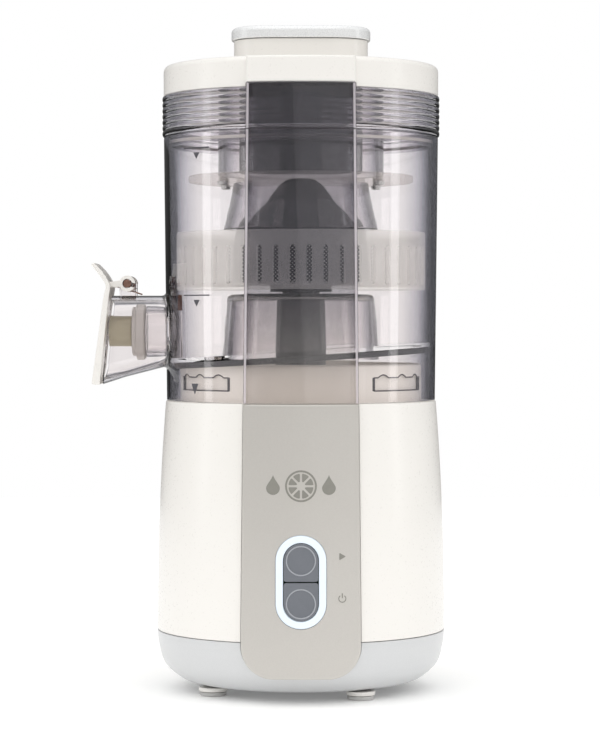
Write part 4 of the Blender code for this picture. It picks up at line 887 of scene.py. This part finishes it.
# The spout's walls take the darker painted edge shade
makePiece("juiceBowl", bowl, clearBowl, "bowl", ["juice_bowl"], 34, (spoutEdgeShadeFinish, onSpout))
tip = turned(rounded([(0, postTip[1].z, 0), (1.3, postTip[1].z, 0.5), (post["r"], postTip[0].z, 0.2),
                      (0, postTip[0].z, 0)]), 32, (post["x"], post["y"]))
makePiece("postTip", tip, brownSilicone, "bowl", ["post_tip"])
ringOut = bowlRadius(floorZ - 70 * slope) - bowlLook["wall"] - gap - 0.4
under = -bowlLook["floor"] - gap
ringIn = ringOut - 2.6
seal = turned(rounded([(ringOut, under), (ringOut, under - 3), (ringIn, under - 3), (ringIn, under)], 0.5), 256)
makePiece("floorRing", moved(seal, "Z", (0, 0, floorZ), tilt), graphiteNylon, "bowl",
          ["floor_ring"])


# Marks on the wall: a line with a pointer for each level, and the closing pointer by the latch
def wallAngle(z, x):
    return atan2(-sqrt(bowlRadius(z) ** 2 - x * x), x)


def wallStrip(z, start, end, thick=0.7):
    first, last, r = wallAngle(z, start), wallAngle(z, end), bowlRadius(z)
    return curvedBlock(r - 0.3, r + 0.12, [(first + (last - first) * i / 20, z - thick / 2, z + thick / 2)
                                           for i in range(21)])


def wallPointer(z, x, wide, tall):
    middle, r = wallAngle(z, x), bowlRadius(z)
    reach = wide / 2 / sqrt(r * r - x * x)
    return curvedBlock(r - 0.3, r + 0.12, [(middle + t * reach, z - tall * (1 - abs(t)) - 0.02, z)
                                           for t in (-1, -0.5, 0, 0.5, 1)])


levels = {"upper": 293.4, "lower": 215.2, "pointer": 3.2, "left": -62.5, "right": -48.5, "closing": (168.2, -56.5)}
for name in ("upper", "lower"):
    z = levels[name]
    makePiece(name + "LevelMark", joined(wallStrip(z, levels["left"], levels["right"]),
                                         wallPointer(z - 2.4, levels["left"] + 7, levels["pointer"], 3.4)),
              darkInkAndShadeLines, "bowl")
makePiece("closingPointer", wallPointer(*levels["closing"], 3.6, 5.6), darkInkAndShadeLines, "bowl")


# The window strip: a wide bevel down its sides, hardly any at its ends
bevel = {"edge": 1.5, "ends": 0.15}


def onBevel(spot, normal):  # the bevel's front part, where the painted highlight goes
    return normal.y < -0.3 and bandHalf(spot.z) - bevel["edge"] < abs(spot.x) < bandHalf(spot.z) - 0.4


strip = bandSolid(bowlLow, bowlHigh, backAt(lambda z: bowlRadius(z) + gap), 0, bevel["edge"], ends=bevel["ends"])
# Its bevel faces take the painted highlight finish
makePiece("bowlWindow", strip, darkWindow, "bowl", ["bowl_window"], 34, (bevelHighlightFinish, onBevel))
print("bowl built")

# Drip-stop flap with its stem and seal, pin and spring
flapLook = {"width": 41.0, "edge": 0.35,  # its two sides are measured from the pin
            "outer": ((-19.2, 10.2), (-15.6, 5.6), (-12.4, 1.2), (-11.3, -2.2), (-12.6, -8.3), (-15.7, -31),
                      (-18.9, -54.0)),
            "inner": ((-14.6, -54.8), (-12.2, -32), (-9.7, -8.6), (-8.9, -2.0), (-10.4, 2.4), (-13.6, 7.2),
                      (-17.6, 11.2))}
outerLine, innerLine = smoothLine(flapLook["outer"]), smoothLine(flapLook["inner"])
flapLine = [(hinge["x"] + x, hinge["z"] + z) for x, z in
            rounded([(x, z, 0) for x, z in outerLine[3:-1]] + [(-19.0, -54.9, 0.8), (-14.5, -55.0, 0.8)]
                    + [(x, z, 0) for x, z in innerLine[1:-3]] + [(-17.6, 11.3, 0.5), (-19.3, 10.2, 0.5)])]
flap = moved(slab(flapLine, -flapLook["width"] / 2, flapLook["width"] / 2, flapLook["edge"], flapLook["edge"], 3), "Y")
for side in (-1, 1):
    arm = [(-11.6, -0.4), (-10.4, -1.9), (-4.2, -1.9)]
    arm += [(hinge["boss"] * cos(a), hinge["boss"] * sin(a)) for a in [radians(205 + 310 * i / 40) for i in range(41)]]
    arm += [(-10.8, 0.6)]
    arm = [(hinge["x"] + x, hinge["z"] + z) for x, z in arm]
    ends = sorted((-side * hinge["armIn"], -side * hinge["armOut"]))
    flap = carved(flap, moved(slab(arm, *ends, 0.3, 0.3), "Y"), "UNION")
    cut = block((2.0, min(side * 9, side * 20), -1.3), (8.0, max(side * 9, side * 20), 1.0))
    flap = carved(flap, moved(cut, "Z", (hinge["x"], 0, hinge["z"]), Matrix.Rotation(radians(12), 4, "Y")))
flap = carved(flap, moved(slab(circle(hinge["pin"] + 0.5, (hinge["x"], hinge["z"]), 32), -30, 30, 0, 0), "Y"))
makePiece("spoutFlap", flap, ivoryAbs, "flap", ["spout_flap"])
low, high = span("stopper_stem")
stemR = (high.z - low.z) / 2
start, end = low.x - axisX, high.x - axisX
stem = turned(rounded([(0, end, 0), (stemR, end, 0.4), (stemR, start, 0.3), (0, start, 0)]), 96)
for side in (-1, 1):  # moulding flutes along its sides
    stem = carved(stem, moved(block((-0.5, -0.5, start + 3), (0.5, 0.5, end + 1)), "Z", (0, side * stemR, 0)))
makePiece("stopperStem", moved(stem, "X", (0, 0, nozzleZ)), khakiPom, "flap", ["stopper_stem"])
low, high = span("stopper_seal")
sealX, sealEnd, sealR = high.x - axisX, low.x - axisX, (high.z - low.z) / 2
stopper = turned(rounded([(0, sealX, 0), (sealR, sealX, 1.4), (sealR, sealX - 5, 0.7), (sealR - 2, sealX - 5, 0.5),
                          (sealR - 2, sealEnd, 0.8), (0, sealEnd, 0)]), 128)
makePiece("stopperSeal", moved(stopper, "X", (0, 0, nozzleZ)), greySilicone, "flap", ["stopper_seal"])
pinEnd = hinge["armOut"] + 0.6
pin = [(0, pinEnd, 0)]
for side in (1, -1):  # a grooved head at each end
    head = [(hinge["pin"] - 0.9, pinEnd, 0.3), (hinge["pin"] - 0.9, pinEnd - 0.5, 0), (hinge["pin"], pinEnd - 0.5, 0.3),
            (hinge["pin"], pinEnd - 1.5, 0.2)]
    pin += [(r, side * y, round) for r, y, round in (head if side == 1 else head[::-1])]
pin = turned(rounded(pin + [(0, -pinEnd, 0)]), 48)
makePiece("flapPin", moved(pin, "Y", (hinge["x"], 0, hinge["z"])), bronzeWire, "bowl", ["flap_pin"])
spring = {"wire": 0.4, "radius": 3.3, "turns": 3.75}
coilW = 2 * (hinge["earIn"] - spring["wire"] - 2 * gap)
path = [(spring["radius"] + 4.5, -coilW / 2, -6.6 + spring["wire"] + gap)]
for i in range(int(36 * spring["turns"]) + 1):
    a = -pi / 2 + 2 * pi * i / 36
    path.append((spring["radius"] * cos(a), coilW * (i / (36 * spring["turns"]) - 0.5), spring["radius"] * sin(a)))
path.append((-spring["radius"] - 3.0, coilW / 2, -spring["radius"] * 0.6))
makePiece("flapSpring", moved(swept(path, spring["wire"]), "Z", (hinge["x"], 0, hinge["z"])), bronzeWire,
          "bowl", ["flap_spring"], 60)
print("flap built")

# Filter basket: slotted drum, etched mesh, grater, bell and hub
drumLow, drumHigh = lowOf("basket_drum"), highOf("basket_drum")
plateZ = drumLow + 2.0
basket = {"wall": 2.4, "slots": 48, "slotW": 3.0, "topRim": 8.1, "hub": 20.0, "bell": 38.0, "bellWall": 1.6,
          "grater": 1.4, "teeth": ((42.5, 28), (47, 32), (51.5, 36), (56, 40), (60.5, 44))}
drum = turned(rounded([(drumR, drumHigh, 0.8), (drumR, drumLow, 0.9), (basket["hub"] + gap, drumLow, 0),
                       (basket["hub"] + gap, plateZ, 0), (drumR - basket["wall"], plateZ, 0.6),
                       (drumR - basket["wall"], drumHigh, 0.5)]), 288)
slotLow, slotHigh = plateZ + 0.5, drumHigh - basket["topRim"]
slotLine = racetrack(basket["slotW"], slotHigh - slotLow, 1.45, (0, (slotLow + slotHigh) / 2), 6)
slots = [moved(slab(slotLine, drumR - 6, drumR + 4, 0, 0), "Y", (0, 0, 0),
               Matrix.Rotation(2 * pi * (i + 0.5) / basket["slots"], 4, "Z")) for i in range(basket["slots"])]
makePiece("basketDrum", carved(drum, joined(*slots)), milkyPp, "basket", ["basket_drum"])
meshR, meshHigh = radiusOf("basket_mesh"), highOf("basket_mesh")
sieve = turned([(meshR, meshHigh), (meshR, plateZ + gap), (meshR - 0.5, plateZ + gap), (meshR - 0.5, meshHigh)], 256)
makePiece("basketMesh", sieve, etchedSteel, "basket", ["basket_mesh"])
graterR, graterZ = radiusOf("grater_disc"), plateZ + gap
graterTop = graterZ + basket["grater"]
grater = turned(rounded([(graterR, graterTop, 0.3), (graterR, graterZ, 0), (basket["bell"] + gap, graterZ, 0),
                         (basket["bell"] + gap, graterTop, 0.2)]), 192)
teeth = [grater]
for ring, (r, count) in enumerate(basket["teeth"]):
    for i in range(count):
        a = 2 * pi * (i + 0.5 * (ring % 2)) / count
        tooth = turned([(0, 0.9), (0.9, 0.0), (0.9, -0.3), (0, -0.3)], 4)
        teeth.append(moved(tooth, "Z", (r * cos(a), r * sin(a), graterTop), Matrix.Rotation(a + pi / 4, 4, "Z")))
makePiece("graterDisc", joined(*teeth), brushedSteel, "basket", ["grater_disc"], 30)
bellH = highOf("basket_cone") - graterZ
bellLine = smoothLine([(0, 1.0), (5, 0.996), (9, 0.98), (14, 0.93), (19, 0.84), (23, 0.76), (29.5, 0.67), (34.5, 0.55),
                       (37.0, 0.35), (38.0, 0)], 6)
bellOut = [(max(r, 0), graterZ + t * bellH) for r, t in bellLine]
bellOut[0] = (0, graterZ + bellH)
thin = basket["bellWall"]
bellIn = [(max(r - thin, 0), z - thin * (0.2 + 0.8 * (1 - r / basket["bell"]))) for r, z in bellOut[:-1] if r > 1.7]
bell = bellOut + [(basket["bell"] - thin, graterZ)] + bellIn[::-1] + [(0, bellOut[0][1] - thin)]
makePiece("basketBell", turned(bell, 160), graphiteNylon, "basket", ["basket_cone"], 50)
hubLow, hubHigh = lowOf("basket_hub"), highOf("basket_hub")
hubR = basket["hub"]
hub = turned(rounded([(0, hubHigh, 0), (hubR, hubHigh, 2.5), (hubR, graterZ + 1.8, 0.5), (hubR + 8, graterZ + 1.8, 0.5),
                      (hubR + 8, graterZ, 0.2), (hubR, graterZ, 0), (hubR, hubLow, 0.5), (0, hubLow, 0)]), 128)
socket = slab(star(splines["radius"] + gap, splines["depth"]), hubLow - 9, hubHigh - 2.5, 0, 0)
makePiece("basketHub", carved(hub, socket), graphiteNylon, "basket", ["basket_hub"])
print("basket built")

# Lid: ribbed ring, window strip, cover with brow and neck, feed tube, deflector
lidLook = {"height": 16.2, "wall": 2.4, "edge": 3.2, "ribs": 7, "ribHeight": 0.7, "neckW": 73.2, "neckD": 44.0,
           "neckCorner": 20.0, "neckWall": 2.4, "neckFoot": 2.2, "neckRound": 0.5,
           "stripUp": 1.6, "seal": (2.2, 4.2, 5.6)}
lidTop = lidLow + lidLook["height"]
ribs, pitch = [], (ringHigh - ringLow) / lidLook["ribs"]
for i in range(lidLook["ribs"]):
    for k in range(8):
        t = k / 8
        ribs.append((lidR + lidLook["ribHeight"] * sin(pi * t) ** 0.5, ringHigh - pitch * (i + t)))
spigotR = bowlTopR - bowlLook["wall"] - gap
groove, grooveEnd, spigotEnd = [bowlHigh - down for down in lidLook["seal"]]
ringShape = ribs + [(lidR, ringLow), (spigotR, ringLow), (spigotR, groove), (spigotR - 1.2, groove),
                    (spigotR - 1.2, grooveEnd), (spigotR, grooveEnd), (spigotR, spigotEnd), (spigotR - 2.6, spigotEnd),
                    (spigotR - 2.6, ringLow + 1.0), (lidR - 2.6, ringLow + 2.6), (lidR - 2.6, ringHigh)]
# No ribs behind the window strip
stripHalf = asin((bandHalf(ringHigh) - 0.4) / lidR)
plainPart = curvedBlock(lidR + 0.02, lidR + 3, [(stripHalf * i / 25 - pi / 2, ringLow - 1, ringHigh + 1)
                                                for i in range(-25, 26)])
makePiece("lidRing", carved(turned(ringShape, 256), plainPart), clearRing, "lid_assembly",
          ["lid_ring"], 50)
oring = turned(rounded([(spigotR - 0.05, bowlHigh - 2.35), (spigotR - 0.05, bowlHigh - 4.05),
                        (spigotR - 0.9, bowlHigh - 4.05), (spigotR - 0.9, bowlHigh - 2.35)], 0.4), 256)
makePiece("lidSeal", oring, greySilicone, "lid_assembly", ["lid_seal"])
stripTop = lidLow + lidLook["stripUp"]
strip = bandSolid(ringLow, stripTop, backAt(lambda z: lidR + lidLook["ribHeight"] + gap), 0, bevel["edge"],
                  ends=bevel["ends"])
makePiece("lidWindow", strip, darkWindow, "lid_assembly", ["lid_window"], 34, (bevelHighlightFinish, onBevel))
wall = lidLook["wall"]
cover = turned(rounded([(0, lidTop, 0), (lidR, lidTop, lidLook["edge"]), (lidR, lidLow, 0.5),
                        (lidR - wall, lidLow, 0.3), (lidR - wall, lidTop - wall, 1.5), (0, lidTop - wall, 0)], steps=8),
               256)
cover = carved(cover, bandSolid(stripTop + gap, lidTop - 0.4, backAt(lambda z: lidR - 1.0), 0, 1.3), "UNION")
half = bandHalf(stripTop) + gap
cover = carved(cover, block((-half, -lidR - 5, lidLow - 2), (half, -lidR + 14, stripTop + gap)))
track = (lidLook["neckW"], lidLook["neckD"], lidLook["neckCorner"])
foot, top = lidLook["neckFoot"], lidLook["neckRound"]
neckLine = [(foot, lidTop - 1.0)]
neckLine += [(foot * (1 - sin(a)), lidTop + foot * (1 - cos(a))) for a in [pi / 2 * k / 6 for k in range(7)]]
neckLine += [(-top * (1 - cos(a)), neckHigh - top + top * sin(a)) for a in [pi / 2 * k / 4 for k in range(5)]]
neckLoops = [[(x, y, z) for x, y in racetrack(track[0] + 2 * out, track[1] + 2 * out, track[2] + out, (0, 0), 20)]
             for out, z in neckLine]
cover = carved(cover, lofted(neckLoops), "UNION")
wall = lidLook["neckWall"]
chuteCorner = track[2] - wall
chute = racetrack(track[0] - 2 * wall, track[1] - 2 * wall, chuteCorner, (0, 0), 20)
cover = carved(cover, slab(chute, lidTop - 30, lidTop + 30, 0, 0))
makePiece("lidCover", cover, ivoryAbs, "lid_assembly", ["lid"])
tubeR, tubeLow, tubeHigh = radiusOf("feed_tube"), lowOf("feed_tube"), highOf("feed_tube")
feed = turned(rounded([(tubeR, tubeHigh), (tubeR, tubeLow), (tubeR - 2.4, tubeLow), (tubeR - 2.4, tubeHigh)], 0.5), 224)
makePiece("feedTube", feed, clearBowl, "lid_assembly", ["feed_tube"])
skirtLow, skirtHigh, skirtR = lowOf("feed_skirt"), highOf("feed_skirt"), radiusOf("feed_skirt")
skirtLook = {"top": 36.9, "bend": 39.2, "bendDown": 12, "wall": 1.8}
bendZ, topR, bendR, wall = skirtHigh - skirtLook["bendDown"], skirtLook["top"], skirtLook["bend"], skirtLook["wall"]
skirt = turned(rounded([(topR, skirtHigh, 0.3), (bendR, bendZ, 0), (skirtR, skirtLow, 0.7),
                        (skirtR - wall, skirtLow, 0.6), (bendR - wall, bendZ, 0), (topR - wall, skirtHigh, 0.3)]), 224)
makePiece("feedSkirt", skirt, clearBowl, "lid_assembly", ["feed_skirt"])
plateR, plateLow, plateHigh = radiusOf("deflector_disc"), lowOf("deflector_disc"), highOf("deflector_disc")
plateLook = {"bore": 35.1, "screwHole": 1.9, "shank": 1.6, "head": 2.9, "slot": 1.7}
plate = turned(rounded([(plateR, plateHigh, 0.9), (plateR, plateLow, 0.9), (plateLook["bore"], plateLow, 0.4),
                        (plateLook["bore"], plateHigh, 0.4)]), 224)
for i in range(4):
    screwNode = "deflector_screw_%d" % (i + 1)
    (low, high), spot = span(screwNode), spotOf(screwNode)
    hole, shank, head = plateLook["screwHole"], plateLook["shank"], plateLook["head"]
    plate = carved(plate, turned([(0, plateHigh + 3), (hole, plateHigh + 3), (hole, plateLow - 3), (0, plateLow - 3)],
                                 32, spot))
    screw = turned(rounded([(0, high.z, 0), (shank, high.z, 0.2), (shank, plateLow - gap, 0),
                            (head, plateLow - gap, 0.2), (head - 0.4, low.z, 0.6), (0, low.z, 0)]), 40, spot)
    for turn in (0, pi / 2):
        slot = block((-plateLook["slot"], -0.3, low.z - 1), (plateLook["slot"], 0.3, low.z + 0.7))
        screw = carved(screw, moved(slot, "Z", (*spot, 0), Matrix.Rotation(turn + i, 4, "Z")))
    makePiece("deflectorScrew%d" % (i + 1), screw, brushedSteel, "lid_assembly", [screwNode])
makePiece("deflectorDisc", plate, cloudySilicone, "lid_assembly", ["deflector_disc"])

# Pusher: hollow body and its cap
pusherLook = {"wall": 2.2, "run": 0.5, "overhang": 1.4, "edge": 2.6}
low, high = span("pusher_body")
wide, deep, corner = high.x - low.x, high.y - low.y, chuteCorner - pusherLook["run"]
wall = pusherLook["wall"]
body = carved(slab(racetrack(wide, deep, corner, (0, 0), 20), low.z, high.z, 1.2, 0.3),
              slab(racetrack(wide - 2 * wall, deep - 2 * wall, corner - wall, (0, 0), 20), low.z + wall, high.z + 5,
                   0.8, 0))
makePiece("pusherBody", body, graphiteNylon, "pusher", ["pusher_body"])
low, high = span("pusher_cap")
capShape = slab(racetrack(high.x - low.x, high.y - low.y, track[2] + pusherLook["overhang"], (0, 0), 24),
                low.z, high.z, 0.6, pusherLook["edge"], 8)
makePiece("pusherCap", capShape, capPaintPaintedLighter, "pusher", ["pusher_cap"])
print("lid and pusher built")

# What stays from the frame: the motor and the boards, with their own finishes
kept = {zincSteel: ("motor_can", "motor_end_top", "motor_end_bottom"),
        brushedSteel: ("bearing_upper", "bearing_lower", "motor_shaft"), laminatedSteel: ("stator_ring",),
        enamelledCopper: ("rotor",), blackRubber: ("motor_mount_ring",), greySilicone: ("shaft_seal",),
        circuitBoard: ("switch_board", "control_board"), graphiteNylon: ("cooling_fan", "start_switch", "power_switch")}
for finish, names in kept.items():
    for name in names:
        nodes[name].data.materials.clear()
        nodes[name].data.materials.append(finish)

# Studio: floor, soft light, camera
studio = {"floor": "#FBFBFA", "floorShade": "#F9F9F8", "floorGlow": 0.09, "floorHalf": 1.6,
          "dome": (0.34, 1.2), "mirror": (0.05, 1.0),  # sky at the horizon and overhead, as light and as reflected
          "key": 0.6, "keyAngle": 70, "keyFrom": (-28, 55), "fill": 0.34, "fillAngle": 80, "fillFrom": (30, 28),
          "box": 1.1, "boxWidth": 0.22, "boxAway": 1.3, "boxTurn": 84, "boxUp": 0.55, "boxAim": 0.2}
floorMade, tree = startMaterial("paintedPaleFloor")
cloud = speckle(tree, 180, 4.0)
tone = blended(tree, cloud, studio["floor"], studio["floorShade"])
shader = addNode(tree, "BsdfPrincipled", {"Base Color": tone, "Roughness": 0.8, "Emission Color": "#FFFFFF",
                                          "Emission Strength": studio["floorGlow"]})
addNode(tree, "OutputMaterial", {"Surface": shader.outputs[0]})
floorMesh = bpy.data.meshes.new("floor")
floorShape = bmesh.new()
bmesh.ops.create_grid(floorShape, x_segments=8, y_segments=8, size=studio["floorHalf"])
floorShape.to_mesh(floorMesh)
floorShape.free()
floorMesh.materials.append(floorMade)
floor = bpy.data.objects.new("floor", floorMesh)
floor.location.z = -0.0002
bpy.context.scene.collection.objects.link(floor)

world = bpy.data.worlds.new("softStudio")
bpy.context.scene.world = world
world.use_nodes = True
tree = world.node_tree
tree.nodes.clear()
up = addNode(tree, "SeparateXYZ", {"Vector": addNode(tree, "TexCoord").outputs["Generated"]})
skies = []
for low, high in (studio["dome"], studio["mirror"]):
    level = addNode(tree, "MapRange", {"Value": up.outputs[2], "To Min": low, "To Max": high})
    skies.append(addNode(tree, "Background", {"Color": "#FFFFFF", "Strength": level.outputs[0]}))
paper = addNode(tree, "Background", {"Color": "#FFFFFF", "Strength": 1.0})
path = addNode(tree, "LightPath")
shine = addNode(tree, "MixShader", {0: path.outputs["Is Glossy Ray"], 1: skies[0].outputs[0], 2: skies[1].outputs[0]})
seen = addNode(tree, "Math", {0: path.outputs["Is Camera Ray"], 1: path.outputs["Is Transmission Ray"]},
               operation="MAXIMUM")
both = addNode(tree, "MixShader", {0: seen.outputs[0], 1: shine.outputs[0], 2: paper.outputs[0]})
addNode(tree, "OutputWorld", {"Surface": both.outputs[0]})
bpy.context.scene.view_settings.view_transform = "Standard"


def sunLamp(name, strength, angle, azimuth, elevation):
    lamp = bpy.data.lights.new(name, "SUN")
    lamp.energy, lamp.angle = strength, radians(angle)
    made = bpy.data.objects.new(name, lamp)
    a, e = radians(azimuth), radians(elevation)
    towards = Vector((sin(a) * cos(e), -cos(a) * cos(e), sin(e)))
    made.rotation_euler = towards.to_track_quat("Z", "Y").to_euler()
    bpy.context.scene.collection.objects.link(made)


sunLamp("keyLight", studio["key"], studio["keyAngle"], *studio["keyFrom"])
sunLamp("fillLight", studio["fill"], studio["fillAngle"], *studio["fillFrom"])
for side in (-1, 1):  # a tall softbox on each side for the long highlights
    lamp = bpy.data.lights.new("softbox", "AREA")
    lamp.shape, lamp.size, lamp.size_y, lamp.energy = "RECTANGLE", studio["boxWidth"], 1.0, studio["box"]
    box = bpy.data.objects.new("softbox", lamp)
    a = radians(side * studio["boxTurn"])
    box.location = (studio["boxAway"] * sin(a), -studio["boxAway"] * cos(a), studio["boxUp"])
    box.rotation_euler = (box.location - Vector((0, 0, studio["boxAim"]))).to_track_quat("Z", "Y").to_euler()
    box.visible_camera = False
    bpy.context.scene.collection.objects.link(box)

cameraLook = {"distance": 1500.0, "height": 202.0, "aim": 177.6, "side": -0.5, "lens": 134.8}
camera = bpy.data.cameras.new("camera")
camera.lens, camera.sensor_width = cameraLook["lens"], 36
seat = bpy.data.objects.new("camera", camera)
bpy.context.scene.collection.objects.link(seat)
seat.location = Vector((axisX + cameraLook["side"], axisY - cameraLook["distance"], cameraLook["height"])) * mm
aim = Vector((axisX + cameraLook["side"], axisY, cameraLook["aim"])) * mm
seat.rotation_euler = (aim - seat.location).to_track_quat("-Z", "Y").to_euler()
bpy.context.scene.camera = seat
print("studio ready")
